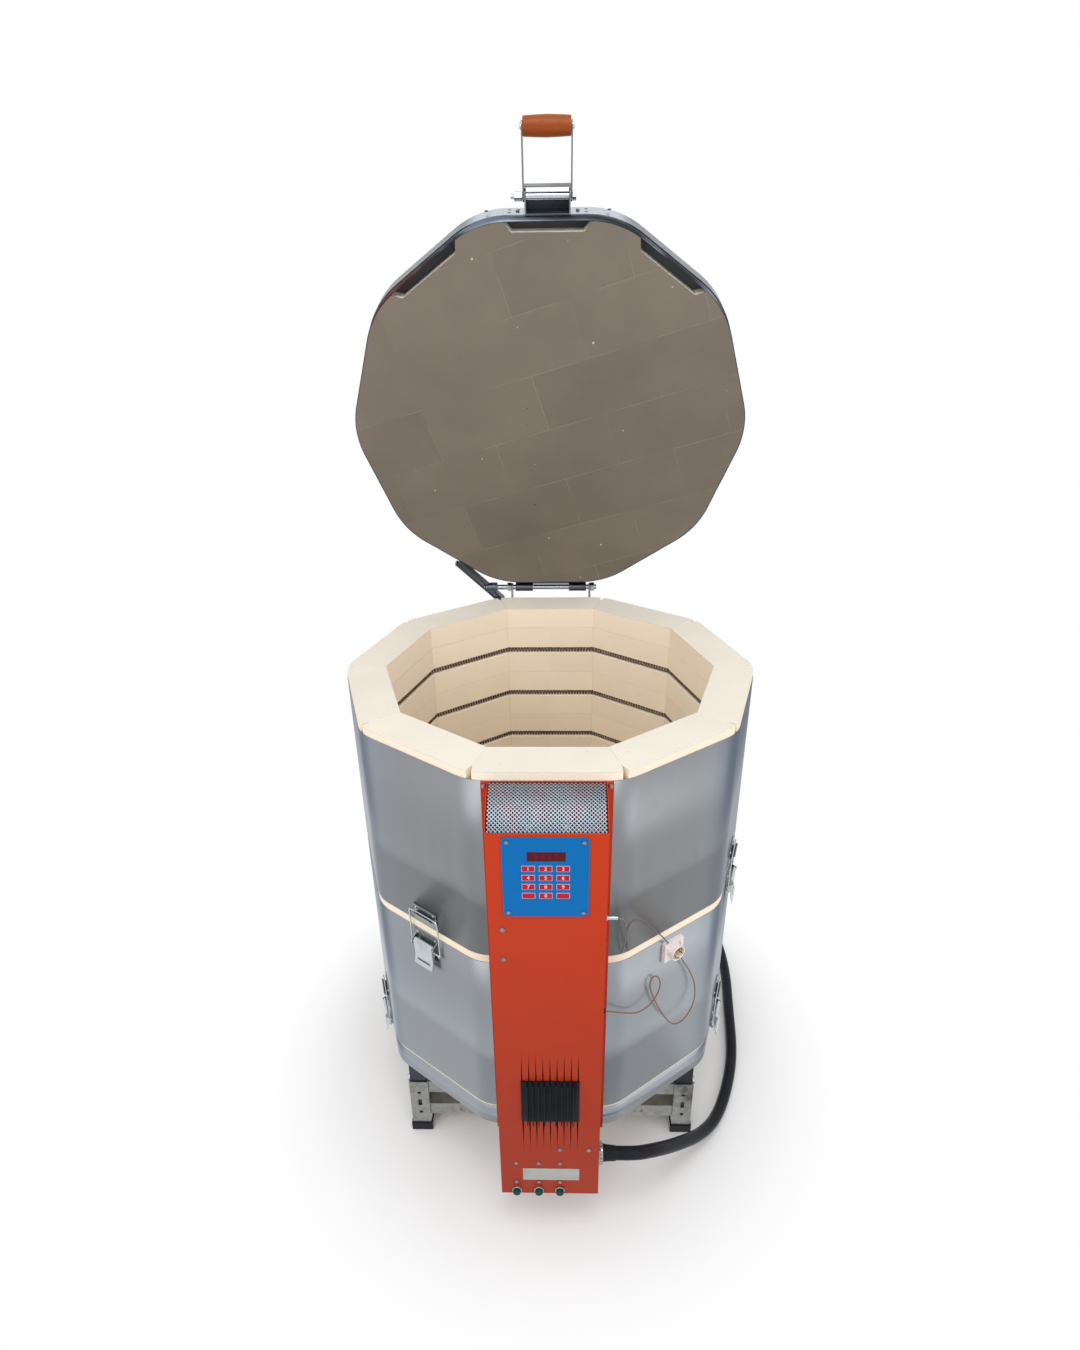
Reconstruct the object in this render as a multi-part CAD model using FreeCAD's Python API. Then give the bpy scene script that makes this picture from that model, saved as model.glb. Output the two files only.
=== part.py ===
"""A ten-sided top-loading ceramic kiln on a perforated steel stand, lid open as it rests.

Millimetres, +Z up, +X to the right of someone facing the control box, which is on the -Y side.
The origin is on the floor, on the kiln's own axis.
"""
import FreeCAD, Part
import math
import os

from FreeCAD import Rotation, Vector

# Chamber, walls and heights
SIDES = 10
CHAMBER_APOTHEM = 297.0
WALL = 73.0
JACKET_SHEET = 1.0
CORNER_RADIUS = 78.0
FLOOR_UNDERSIDE = 214.0
FLOOR_THICKNESS = 52.0
COURSE_HEIGHT = 110.0
BASE_COURSE_HEIGHT = 41.0
RIM_COURSE_HEIGHT = 46.0
COURSES_PER_SECTION = 3
RIM_EXPOSED = 15.0
MID_BAND = 17.0
FLOOR_BAND = 5.0
NOTCH_WIDTH = 11.0
NOTCH_DEPTH = 20.0

# Elements in their grooves, with insulated tails through the front wall
GROOVE_RADIUS = 6.5
GROOVE_SET_BACK = 8.0
ELEMENT_CLEARANCE = 0.3
TAIL_SPACING = 60.0
TAIL_RADIUS = 2.5
TAIL_STUB = 16.0
INSULATOR_RADIUS = 6.0
INSULATOR_PROUD = 6.0
WINDOW_MARGIN = 8.0
FIT = 0.3

# Lid and hinge
LID_OVERHANG = 4.0
LID_THICKNESS = 76.0
LID_CORNER_RADIUS = 165.0
LID_SEAT_GAP = 0.3
LID_OPEN_ANGLE = 73.0
LID_NOTCH_OUTER = 152.0
LID_NOTCH_INNER = 124.0
LID_NOTCH_DEPTH = 17.0
LID_NOTCH_HEIGHT = 30.0
STRAP_HEIGHT = 44.0
STRAP_SHEET = 2.0
STRAP_HOLE_RADIUS = 3.5
HINGE_SETBACK = 24.0
HINGE_HEIGHT = 15.0
HINGE_ROD_RADIUS = 6.0
HINGE_EAR_SPAN = 184.0
HINGE_PLATE = 4.0
HINGE_DROP = 130.0
KNUCKLE_WALL = 3.5
KNUCKLE_WIDTH = 40.0
KNUCKLE_GAP = 84.0
SHAFT_CLEARANCE = 0.08
SIDE_CLEARANCE = 0.5
HINGE_NUT = 9.0
BRACE_SIDE = -137.0
BRACE_BAR = 5.0
BRACE_BAR_GAP = 6.0
BRACE_DEPTH = 14.0

# Lid handle
HANDLE_PIVOT_OUT = 27.0
HANDLE_PIVOT_HEIGHT = 42.0
HANDLE_REACH = 100.0
HANDLE_SPAN = 84.0
HANDLE_SHEET = 2.5
HANDLE_STRAP_WIDTH = 16.0
HANDLE_BOLT_RADIUS = 4.0
HANDLE_WEB_OUT = 15.0
HANDLE_EAR_ROOT = 17.0
HANDLE_EAR_NOSE = 13.0
GRIP_RADIUS = 16.0
GRIP_TAPER = 1.5
GRIP_ROD_RADIUS = 3.0

# Control box
BOX_WIDTH = 182.0
BOX_DEPTH = 74.0
BOX_BOTTOM = 117.0
PANEL_TOP = 956.0
BOX_SHEET = 1.5
FLANGE_EDGE = 10.0
FLANGE_SHEET = 2.0
GRILLE_BULGE = 8.0
GRILLE_SHEET = 1.2
GRILLE_HOLE = 6.0
GRILLE_PITCH = 14.0
GRILLE_INSET = 3.0
GRILLE_MARGIN = 10.0
SLOT_COUNT = 9
SLOT_PITCH = 12.2
SLOT_TOP = 490.0
SLOT_BOTTOM = 252.0
SLOT_WIDTH = 2.6
CONTROLLER_WIDTH = 130.0
CONTROLLER_X = -2.0
CONTROLLER_HEIGHT = 148.0
CONTROLLER_TOP = 949.5
CONTROLLER_PLATE = 2.0
DISPLAY_WIDTH = 58.0
DISPLAY_X = -1.0
DISPLAY_HEIGHT = 18.0
DISPLAY_TOP = 924.0
KEY_COLUMNS = 3
KEY_ROWS = 4
KEY_WIDTH = 20.0
KEY_HEIGHT = 11.0
KEY_PITCH_X = 26.0
KEY_PITCH_Z = 17.0
KEY_TOP = 899.0
SINK_WIDTH = 102.0
SINK_HEIGHT = 103.0
SINK_BOTTOM = 327.0
SINK_BASE = 3.0
SINK_FIN = 9.0
SINK_FIN_SHEET = 2.2
SINK_FINS = 9
FUSE_CENTRES = (-62.0, -20.5, 19.0)
FUSE_HEIGHT = 129.0
FUSE_CAP_RADIUS = 7.5
FUSE_RING_RADIUS = 10.0
FUSE_BODY_RADIUS = 6.0
SCREW_HEAD_RADIUS = 4.5
SCREW_HEAD = 2.5
PANEL_SCREWS = ((-70.0, 773.0), (-70.0, 712.0), (71.5, 245.5))
BOARD_GAP = 10.5
RELAY = 34.0
RELAY_PITCH = 46.0
RELAY_HEIGHT = 30.0

# Cord, gland and thermocouple
CORD_DIAMETER = 25.0
GLAND_HEIGHT = 185.0
GLAND_OUT = 16.0
GLAND_NUT = 6.0
GLAND_RADIUS = 20.0
GLAND_WALL = 2.0
LEAD_DIAMETER = 2.4
LEAD_AZIMUTH = 36.0
FITTING_OUT = 21.0
GROMMET_OUT = 6.0
PLUG_RADIUS = 24.0
PLUG_TAPER = 34.0
PLUG_HEAD = 22.0
PLUG_PIN = 18.0
BLOCK_WIDTH = 44.0
BLOCK_HEIGHT = 40.0
BLOCK_THICKNESS = 9.0
BLOCK_CENTRE = 598.0
CUP_RADIUS = 15.0
CUP_WALL = 2.5
CUP_HEIGHT = 12.0
TERMINAL_RADIUS = 3.0
TERMINAL_PITCH = 7.5
PROBE_RADIUS = 5.0
PROBE_REACH = 40.0

# Draw latches
LATCH_WIDTH = 56.0
LATCH_SHEET = 2.0
KEEPER_BOTTOM = 12.0
KEEPER_TOP = 46.0
BASE_TOP = -12.0
BASE_BOTTOM = -50.0
LEVER_PIVOT_DOWN = 28.0
LEVER_PIVOT_OUT = 9.5
BAIL_PIVOT_DOWN = 42.0
BAIL_PIVOT_OUT = 5.2
BAIL_RADIUS = 1.5
BAIL_ARM = 34.0
BAIL_SEAT = 36.0
BAIL_SEAT_OUT = 6.5
BAIL_BEND = 9.0
HOOK_WIDTH = 44.0
HOOK_DROP = 0.95
HOOK_FALL = 5.6
TONGUE_SHEET = 3.0
HOOK_ROOM = 2.2
HOOK_LIP = 2.4
LATCH_PIN_RADIUS = 2.2
LEVER_WIDTH = 44.0
LEVER_LENGTH = 50.0

# Stand
LEG = 40.0
LEG_WALL = 2.5
LEG_X = 281.0
LEG_Y = 215.0
LEG_TOP = 148.0
LEG_BOTTOM = 6.0
RISER = 34.0
RISER_BOTTOM = 70.0
RISER_CAP = 4.0
FOOT = 46.0
FOOT_HEIGHT = 22.0
RAIL_WIDTH = 32.0
RAIL_SHEET = 2.5
RAIL_HEIGHTS = (45.0, 113.0)
RAIL_PITCH = 65.0
HOLE_HEIGHT = 8.0
SLOT_LENGTH = 20.0
LEG_HOLE_PITCH = 30.0
LEG_HOLES = 3
CLAMP_RADIUS = 4.0
CLAMP_DOWN = 9.0
CLAMP_NUT = 5.0

# Levels and radii that follow from the sizes above
FLOOR_TOP = FLOOR_UNDERSIDE + FLOOR_THICKNESS
SECTION_CORE = COURSES_PER_SECTION * COURSE_HEIGHT
MID_JOINT = FLOOR_TOP + BASE_COURSE_HEIGHT + SECTION_CORE
RIM_BOTTOM = MID_JOINT + SECTION_CORE
RIM = RIM_BOTTOM + RIM_COURSE_HEIGHT
BRICK_APOTHEM = CHAMBER_APOTHEM + WALL
JACKET_APOTHEM = BRICK_APOTHEM + JACKET_SHEET
HALF_TURN = 180.0 / SIDES
TAN_HALF = math.tan(math.radians(HALF_TURN))
JACKET_TOP = RIM - RIM_EXPOSED
LID_BOTTOM = RIM + LID_SEAT_GAP
LID_TOP = LID_BOTTOM + LID_THICKNESS
LID_APOTHEM = BRICK_APOTHEM + LID_OVERHANG
LID_BAND_APOTHEM = LID_APOTHEM + JACKET_SHEET
HINGE_Y = LID_BAND_APOTHEM + HINGE_SETBACK
HINGE_Z = RIM + HINGE_HEIGHT
FLANGE_WIDTH = BOX_WIDTH + 2 * FLANGE_EDGE
BACKPLATE_FRONT = JACKET_APOTHEM + FLANGE_SHEET
BOX_FRONT = JACKET_APOTHEM + BOX_DEPTH
SHEET_INNER = BOX_FRONT - BOX_SHEET
HANDLE_PIVOT_Y = -(LID_BAND_APOTHEM + HANDLE_PIVOT_OUT)
HANDLE_PIVOT_Z = LID_BOTTOM + HANDLE_PIVOT_HEIGHT
GRIP_Y = HANDLE_PIVOT_Y - HANDLE_REACH
LATCHES = (
    ("left_middle", -2 * HALF_TURN, MID_JOINT),
    ("right_middle", 4 * HALF_TURN, MID_JOINT),
    ("left_floor", -4 * HALF_TURN, FLOOR_TOP),
    ("right_floor", 4 * HALF_TURN, FLOOR_TOP),
)
PROBE_FITTING = (-395.0, 752.0)
LEAD_GROMMET = (-395.0, 543.0)

PARTS = {}


def keep(name, *solids):
    """Store one named piece, or a group of like pieces, for export."""
    PARTS[name] = solids[0] if len(solids) == 1 else Part.makeCompound(list(solids))


def block(x0, x1, y0, y1, z0, z1):
    return Part.makeBox(x1 - x0, y1 - y0, z1 - z0, Vector(x0, y0, z0))


def rod(radius, start, end):
    start = Vector(*start)
    along = Vector(*end) - start
    return Part.makeCylinder(radius, along.Length, start, along)


def prism(points, direction):
    """Extrude a closed outline of 3-D points."""
    corners = [Vector(*p) for p in points]
    wire = Part.makePolygon(corners + [corners[0]])
    return Part.Face(wire).extrude(Vector(*direction))


def facet_ring(radius, centre, along, sides):
    """A closed regular polygon square to a direction, with a corner towards its local X."""
    frame = Rotation(Vector(0, 0, 1), along)
    points = []
    for k in range(sides + 1):
        angle = 2 * math.pi * (k % sides) / sides
        spoke = Vector(radius * math.cos(angle), radius * math.sin(angle), 0)
        points.append(centre + frame.multVec(spoke))
    return Part.makePolygon(points)


def facet_rod(radius, start, end, sides=6):
    """A rod with flat faces, for small pieces on which nothing turns."""
    start = Vector(*start)
    along = Vector(*end) - start
    face = Part.Face(facet_ring(radius, start, along, sides))
    return face.extrude(along)


def facet_cone(radius, end_radius, start, end, sides=12):
    """A cone with flat faces, between two rings that have their corners in line."""
    start = Vector(*start)
    end = Vector(*end)
    along = end - start
    first = [v.Point for v in facet_ring(radius, start, along, sides).Vertexes]
    last = [v.Point for v in facet_ring(end_radius, end, along, sides).Vertexes]
    loops = [first, last]
    for k in range(sides):
        other = (k + 1) % sides
        loops.append([first[k], first[other], last[other], last[k]])
    faces = [Part.Face(Part.makePolygon(loop + [loop[0]])) for loop in loops]
    return Part.Solid(Part.Shell(faces))


def mitred_tube(points, radius, sides=6):
    """A tube of straight runs with flat faces and mitred corners."""
    corners = [Vector(*p) for p in points]
    ring = facet_ring(radius, corners[0], corners[1] - corners[0], sides)
    return Part.makePolygon(corners).makePipeShell([ring], True, False, 1)


def turned(shape, azimuth):
    """Turn something made for the front flat to the flat at this azimuth."""
    copy = shape.copy()
    copy.rotate(Vector(0, 0, 0), Vector(0, 0, 1), azimuth)
    return copy


def decagon(apothem, corner_radius, z0, z1):
    """A prism with SIDES flats, one facing -Y, and rounded upright edges."""
    reach = apothem / math.cos(math.radians(HALF_TURN))
    points = []
    for k in range(SIDES):
        angle = math.radians(HALF_TURN + 2 * HALF_TURN * k)
        points.append((reach * math.sin(angle), -reach * math.cos(angle), z0))
    solid = prism(points, (0, 0, z1 - z0))
    if corner_radius <= 0:
        return solid
    upright = [e for e in solid.Edges if abs(e.Vertexes[0].Z - e.Vertexes[1].Z) > 1e-6]
    return solid.makeFillet(corner_radius, upright)


def sleeve(apothem, corner_radius, sheet, z0, z1):
    """A thin jacket whose inner face is the given rounded decagon."""
    outer = decagon(apothem + sheet, corner_radius + sheet, z0, z1)
    return outer.cut(decagon(apothem, corner_radius, z0 - 1, z1 + 1))


def opened(shape):
    """Turn a lid piece from closed to the open angle in which it rests."""
    copy = shape.copy()
    copy.rotate(Vector(0, HINGE_Y, HINGE_Z), Vector(1, 0, 0), -LID_OPEN_ANGLE)
    return copy


# Brick lining


def plain_brick(z0, z1):
    """The front brick of a course, mitred, with its outer corners cut to the jacket's bend."""
    half_angle = math.radians(HALF_TURN)
    inner_half = CHAMBER_APOTHEM * TAN_HALF
    flat_half = (BRICK_APOTHEM - CORNER_RADIUS) * TAN_HALF
    bend = (BRICK_APOTHEM - CORNER_RADIUS) / math.cos(half_angle) + CORNER_RADIUS
    right = [
        (inner_half, -CHAMBER_APOTHEM),
        (bend * math.sin(half_angle), -bend * math.cos(half_angle)),
        (flat_half, -BRICK_APOTHEM),
    ]
    left = [(-x, y) for x, y in reversed(right)]
    return prism([(x, y, z0) for x, y in right + left], (0, 0, z1 - z0))


def rim_brick(z0, z1):
    """A rim brick, which has half a notch at each outer corner."""
    outer_half = BRICK_APOTHEM * TAN_HALF
    apex = BRICK_APOTHEM / math.cos(math.radians(HALF_TURN)) - NOTCH_DEPTH
    apex_x = apex * math.sin(math.radians(HALF_TURN))
    apex_y = -apex * math.cos(math.radians(HALF_TURN))
    edge = outer_half - NOTCH_WIDTH / 2
    right = [(CHAMBER_APOTHEM * TAN_HALF, -CHAMBER_APOTHEM), (apex_x, apex_y), (edge, -BRICK_APOTHEM)]
    left = [(-x, y) for x, y in reversed(right)]
    solid = prism([(x, y, z0) for x, y in right + left], (0, 0, z1 - z0))
    return solid.common(decagon(BRICK_APOTHEM, CORNER_RADIUS, z0 - 1, z1 + 1))


def groove(z):
    """The cutter of an element groove."""
    reach = BRICK_APOTHEM
    back = CHAMBER_APOTHEM + GROOVE_SET_BACK + GROOVE_RADIUS
    return block(-reach, reach, -back, 1 - CHAMBER_APOTHEM, z - GROOVE_RADIUS, z + GROOVE_RADIUS)


def tail_hole(x, z):
    start = CHAMBER_APOTHEM + GROOVE_SET_BACK
    return facet_rod(INSULATOR_RADIUS + FIT, (x, -start, z), (x, -BRICK_APOTHEM - 1, z))


def groove_heights(first_course):
    return [first_course + COURSE_HEIGHT * (k + 0.5) for k in range(COURSES_PER_SECTION)]


LOWER_GROOVES = groove_heights(FLOOR_TOP + BASE_COURSE_HEIGHT)
UPPER_GROOVES = groove_heights(MID_JOINT)


def ring_of(brick):
    return [turned(brick, 2 * HALF_TURN * k) for k in range(SIDES)]


def grooved_course(z0, groove_z):
    """One ring of grooved bricks; the front brick has a hole for each tail."""
    brick = plain_brick(z0, z0 + COURSE_HEIGHT).cut(groove(groove_z))
    front = brick
    for side in (-1, 1):
        front = front.cut(tail_hole(side * TAIL_SPACING / 2, groove_z))
    return [front] + ring_of(brick)[1:]


def section_bricks(first_course, grooves):
    bricks = []
    for k, z in enumerate(grooves):
        bricks += grooved_course(first_course + COURSE_HEIGHT * k, z)
    return bricks


def drilled_for_probe(bricks):
    """Bore the one brick that the thermocouple passes through."""
    hole = probe_way(PROBE_RADIUS + FIT, JACKET_APOTHEM + 1, CHAMBER_APOTHEM - 1)
    return [brick.cut(hole) if brick.common(hole).Volume > 1 else brick for brick in bricks]


def make_lining():
    keep("floor_slab", decagon(BRICK_APOTHEM, CORNER_RADIUS, FLOOR_UNDERSIDE, FLOOR_TOP))
    first = FLOOR_TOP + BASE_COURSE_HEIGHT
    lower = ring_of(plain_brick(FLOOR_TOP, first)) + section_bricks(first, LOWER_GROOVES)
    keep("lower_bricks", *drilled_for_probe(lower))
    keep("upper_bricks", *section_bricks(MID_JOINT, UPPER_GROOVES))
    keep("rim_bricks", *ring_of(rim_brick(RIM_BOTTOM, RIM)))


# Jackets


def tail_window(grooves):
    """The cutter of the opening that a section's tails pass through, behind the box."""
    half = TAIL_SPACING / 2 + INSULATOR_RADIUS + WINDOW_MARGIN
    z0 = grooves[0] - INSULATOR_RADIUS - WINDOW_MARGIN
    z1 = grooves[-1] + INSULATOR_RADIUS + WINDOW_MARGIN
    return block(-half, half, -BACKPLATE_FRONT - 1, -BRICK_APOTHEM, z0, z1)


def make_jackets():
    """Sheet jackets that stop short of the rim and of each joint, and show the brick there."""
    floor_top = FLOOR_TOP - FLOOR_BAND
    keep("floor_jacket", sleeve(BRICK_APOTHEM, CORNER_RADIUS, JACKET_SHEET, FLOOR_UNDERSIDE, floor_top))
    lower = sleeve(BRICK_APOTHEM, CORNER_RADIUS, JACKET_SHEET, FLOOR_TOP, MID_JOINT - MID_BAND / 2)
    upper = sleeve(BRICK_APOTHEM, CORNER_RADIUS, JACKET_SHEET, MID_JOINT + MID_BAND / 2, JACKET_TOP)
    probe = probe_way(PROBE_RADIUS + FIT, JACKET_APOTHEM + 1, CHAMBER_APOTHEM - 1)
    keep("lower_jacket", lower.cut(tail_window(LOWER_GROOVES)).cut(probe))
    keep("upper_jacket", upper.cut(tail_window(UPPER_GROOVES)))


# Heating elements


def element(z):
    """The coil's envelope round the groove, with its two tails through the front wall."""
    apothem = CHAMBER_APOTHEM + GROOVE_SET_BACK
    reach = apothem / math.cos(math.radians(HALF_TURN))
    half = TAIL_SPACING / 2
    points = [(half, -apothem, z)]
    for k in range(SIDES):
        angle = math.radians(HALF_TURN + 2 * HALF_TURN * k)
        points.append((reach * math.sin(angle), -reach * math.cos(angle), z))
    points.append((-half, -apothem, z))
    coil = mitred_tube(points, GROOVE_RADIUS - ELEMENT_CLEARANCE)
    tip = BACKPLATE_FRONT + INSULATOR_PROUD + TAIL_STUB
    tails = [facet_rod(TAIL_RADIUS, (x, -apothem, z), (x, -tip, z)) for x in (-half, half)]
    return coil.fuse(tails)


def insulator(x, z):
    """A ceramic bush that leads one tail from the groove into the box."""
    start = CHAMBER_APOTHEM + GROOVE_SET_BACK + GROOVE_RADIUS
    end = BACKPLATE_FRONT + INSULATOR_PROUD
    bush = facet_rod(INSULATOR_RADIUS, (x, -start, z), (x, -end, z))
    return bush.cut(facet_rod(TAIL_RADIUS + FIT, (x, 1 - start, z), (x, -end - 1, z)))


def make_elements():
    keep("lower_elements", *[element(z) for z in LOWER_GROOVES])
    keep("upper_elements", *[element(z) for z in UPPER_GROOVES])
    sides = (-TAIL_SPACING / 2, TAIL_SPACING / 2)
    bushes = [insulator(x, z) for z in LOWER_GROOVES + UPPER_GROOVES for x in sides]
    keep("element_insulators", *bushes)


# Hinge


def nut(radius, start, end):
    """A hexagon along X, as a nut or a bolt's head."""
    return facet_rod(radius, start, (end, start[1], start[2]))


def hinge_ear(x):
    """A side cheek that carries the rod and runs down the kiln's back."""
    z0 = JACKET_TOP - HINGE_DROP
    eye = HINGE_ROD_RADIUS + KNUCKLE_WALL
    outline = [
        (x, JACKET_APOTHEM + HINGE_PLATE, z0 + 20),
        (x, HINGE_Y + eye, HINGE_Z - 2 * eye),
        (x, HINGE_Y + eye, HINGE_Z),
        (x, HINGE_Y - eye, HINGE_Z),
        (x, JACKET_APOTHEM + HINGE_PLATE, JACKET_TOP - 4),
    ]
    cheek = prism(outline, (HINGE_PLATE, 0, 0))
    return cheek.fuse(rod(eye, (x, HINGE_Y, HINGE_Z), (x + HINGE_PLATE, HINGE_Y, HINGE_Z)))


def hinge_screw_places():
    half = HINGE_EAR_SPAN / 2 - 22
    z0 = JACKET_TOP - HINGE_DROP
    return [(x, z) for x in (-half, 0, half) for z in (z0 + 14, z0 + 70)]


def screw_head(foot, way, radius=SCREW_HEAD_RADIUS):
    """A hexagon head on a face."""
    foot = Vector(*foot)
    return facet_rod(radius, foot, foot + Vector(*way) * SCREW_HEAD)


def make_hinge():
    """A bent bracket on the upper jacket, its rod, and the screws that hold it."""
    half = HINGE_EAR_SPAN / 2
    z0 = JACKET_TOP - HINGE_DROP
    face = JACKET_APOTHEM + HINGE_PLATE
    plate = block(-half, half, JACKET_APOTHEM, face, z0, JACKET_TOP)
    lip_y = HINGE_Y - 2
    lip = prism(
        [
            (-half, face, JACKET_TOP - 8),
            (-half, lip_y, JACKET_TOP - 3),
            (-half, lip_y, JACKET_TOP),
            (-half, face, JACKET_TOP - 4),
        ],
        (HINGE_EAR_SPAN, 0, 0),
    )
    bracket = plate.fuse([hinge_ear(-half), hinge_ear(half - HINGE_PLATE), lip])
    bore = rod(HINGE_ROD_RADIUS, (-half - 1, HINGE_Y, HINGE_Z), (half + 1, HINGE_Y, HINGE_Z))
    keep("hinge_bracket", bracket.cut(bore))
    screws = [screw_head((x, face, z), (0, 1, 0)) for x, z in hinge_screw_places()]
    keep("hinge_screws", *screws)
    left = BRACE_SIDE - BRACE_DEPTH
    right = half + HINGE_NUT + 5
    pin = rod(HINGE_ROD_RADIUS, (left, HINGE_Y, HINGE_Z), (right, HINGE_Y, HINGE_Z))
    end_nuts = [
        nut(11, (half, HINGE_Y, HINGE_Z), half + HINGE_NUT),
        nut(11, (-half, HINGE_Y, HINGE_Z), -half - HINGE_NUT),
    ]
    keep("hinge_rod", pin.fuse(end_nuts))


# Lid, all made closed and then opened


def lid_notch():
    """A trapezoid cut in the underside's edge on the front flat."""
    back = LID_APOTHEM - LID_NOTCH_DEPTH
    front = LID_BAND_APOTHEM + 1
    z = LID_BOTTOM - 1
    slope = (LID_NOTCH_OUTER - LID_NOTCH_INNER) / 2 / LID_NOTCH_DEPTH
    outer = LID_NOTCH_OUTER / 2 + slope * (front - LID_APOTHEM)
    inner = LID_NOTCH_INNER / 2
    outline = [(-outer, -front, z), (outer, -front, z), (inner, -back, z), (-inner, -back, z)]
    return prism(outline, (0, 0, LID_NOTCH_HEIGHT + 1))


def lid_strap():
    """A perforated strap round the front three flats, stopped short on the outer two."""
    apothem = LID_BAND_APOTHEM
    z0 = LID_TOP - STRAP_HEIGHT
    corner = LID_CORNER_RADIUS + JACKET_SHEET
    ring = sleeve(apothem, corner, STRAP_SHEET, z0, LID_TOP)
    side = 2 * LID_APOTHEM * TAN_HALF
    reach = 2 * apothem
    angle = math.radians(3.6 * HALF_TURN)
    wide = reach * math.sin(angle)
    near = -reach * math.cos(angle)
    wedge = prism(
        [
            (0, 0, z0 - 1),
            (-wide, near, z0 - 1),
            (-wide, -2 * reach, z0 - 1),
            (wide, -2 * reach, z0 - 1),
            (wide, near, z0 - 1),
        ],
        (0, 0, STRAP_HEIGHT + 2),
    )
    strap = ring.common(wedge)
    depth = apothem + STRAP_SHEET + 1
    holes = []
    for z in (z0 + STRAP_HEIGHT * 0.3, z0 + STRAP_HEIGHT * 0.7):
        for x in (HANDLE_SPAN / 2 + 9, HANDLE_SPAN / 2 + 24, side / 2 - 20):
            for place in (-x, x):
                holes.append(facet_rod(STRAP_HOLE_RADIUS, (place, 2 - apothem, z), (place, -depth, z)))
    return strap.cut(Part.makeCompound(holes))


def hinge_leaf():
    """Two arms from the lid's back flat to the knuckles, joined by a plate on the band."""
    inner = KNUCKLE_GAP / 2
    outer = inner + KNUCKLE_WIDTH
    band = LID_BAND_APOTHEM
    eye = HINGE_ROD_RADIUS + KNUCKLE_WALL
    plate = block(-outer, outer, band, band + HINGE_PLATE, LID_BOTTOM + 8, LID_TOP - 6)
    leaf = plate
    for side in (-1, 1):
        x0 = inner if side > 0 else -outer
        arm = prism(
            [
                (x0, band + HINGE_PLATE, HINGE_Z + 24),
                (x0, band + HINGE_PLATE, HINGE_Z + 16),
                (x0, HINGE_Y - 2, HINGE_Z + eye - 3.5),
                (x0, HINGE_Y + 2, HINGE_Z + eye - 0.5),
            ],
            (KNUCKLE_WIDTH, 0, 0),
        )
        knuckle = rod(eye, (x0, HINGE_Y, HINGE_Z), (x0 + KNUCKLE_WIDTH, HINGE_Y, HINGE_Z))
        leaf = leaf.fuse([arm, knuckle])
    bore = HINGE_ROD_RADIUS + SHAFT_CLEARANCE
    return leaf.cut(rod(bore, (-outer - 1, HINGE_Y, HINGE_Z), (outer + 1, HINGE_Y, HINGE_Z)))


def lid_brace():
    """A double bar from the side of the band past the end of the hinge rod."""
    flat = math.radians(-4 * 2 * HALF_TURN)
    foot_apothem = LID_BAND_APOTHEM + BRACE_BAR
    foot = Vector(math.sin(flat) * foot_apothem, -math.cos(flat) * foot_apothem, HINGE_Z)
    foot += Vector(math.cos(flat), math.sin(flat), 0) * -22
    boss = Vector(BRACE_SIDE, HINGE_Y, HINGE_Z)
    way = (boss - foot).normalize()
    tail = boss + way * 42
    across = Vector(-way.y, way.x, 0)
    bars = []
    for offset in (0, BRACE_BAR + BRACE_BAR_GAP):
        a = foot + across * offset
        b = tail + across * offset
        wide = across * BRACE_BAR
        low = Vector(0, 0, -BRACE_DEPTH / 2)
        outline = [a + low, b + low, b + wide + low, a + wide + low]
        bars.append(prism([tuple(p) for p in outline], (0, 0, BRACE_DEPTH)))
    span = 2 * BRACE_BAR + BRACE_BAR_GAP
    hub_half = BRACE_DEPTH / 2 + 5
    hub = rod(HINGE_ROD_RADIUS + 5, (BRACE_SIDE - hub_half, HINGE_Y, HINGE_Z), (BRACE_SIDE + hub_half, HINGE_Y, HINGE_Z))
    ends = []
    for centre in (foot + way * 8, tail - way * 8):
        low = centre - way * 5 + Vector(0, 0, -BRACE_DEPTH / 2 + 1)
        outline = [low, low + way * 10, low + way * 10 + across * span, low + across * span]
        ends.append(prism([tuple(p) for p in outline], (0, 0, BRACE_DEPTH - 2)))
    brace = bars[0].fuse([bars[1], hub] + ends)
    radius = HINGE_ROD_RADIUS + SHAFT_CLEARANCE
    bore = rod(radius, (BRACE_SIDE - 30, HINGE_Y, HINGE_Z), (BRACE_SIDE + 30, HINGE_Y, HINGE_Z))
    return brace.cut(bore)


def handle_bracket():
    """A channel on the front of the band whose two ears carry the handle's bolt."""
    inner = HANDLE_SPAN / 2 - HANDLE_SHEET - SIDE_CLEARANCE
    band = LID_BAND_APOTHEM + STRAP_SHEET
    y, z = HANDLE_PIVOT_Y, HANDLE_PIVOT_Z
    root = HANDLE_EAR_ROOT
    nose = HANDLE_EAR_NOSE
    web = block(-inner, inner, -band - HANDLE_SHEET, -band, z - root, z + root)
    ears = []
    for x0 in (-inner, inner - HANDLE_SHEET):
        outline = [
            (x0, -band, z - root),
            (x0, y, z - nose),
            (x0, y - 0.7 * nose, z - 0.7 * nose),
            (x0, y - nose, z),
            (x0, y - 0.7 * nose, z + 0.7 * nose),
            (x0, y, z + nose),
            (x0, -band, z + root),
        ]
        ears.append(prism(outline, (HANDLE_SHEET, 0, 0)))
    bore = rod(HANDLE_BOLT_RADIUS, (-inner - 1, y, z), (inner + 1, y, z))
    return web.fuse(ears).cut(bore)


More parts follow.
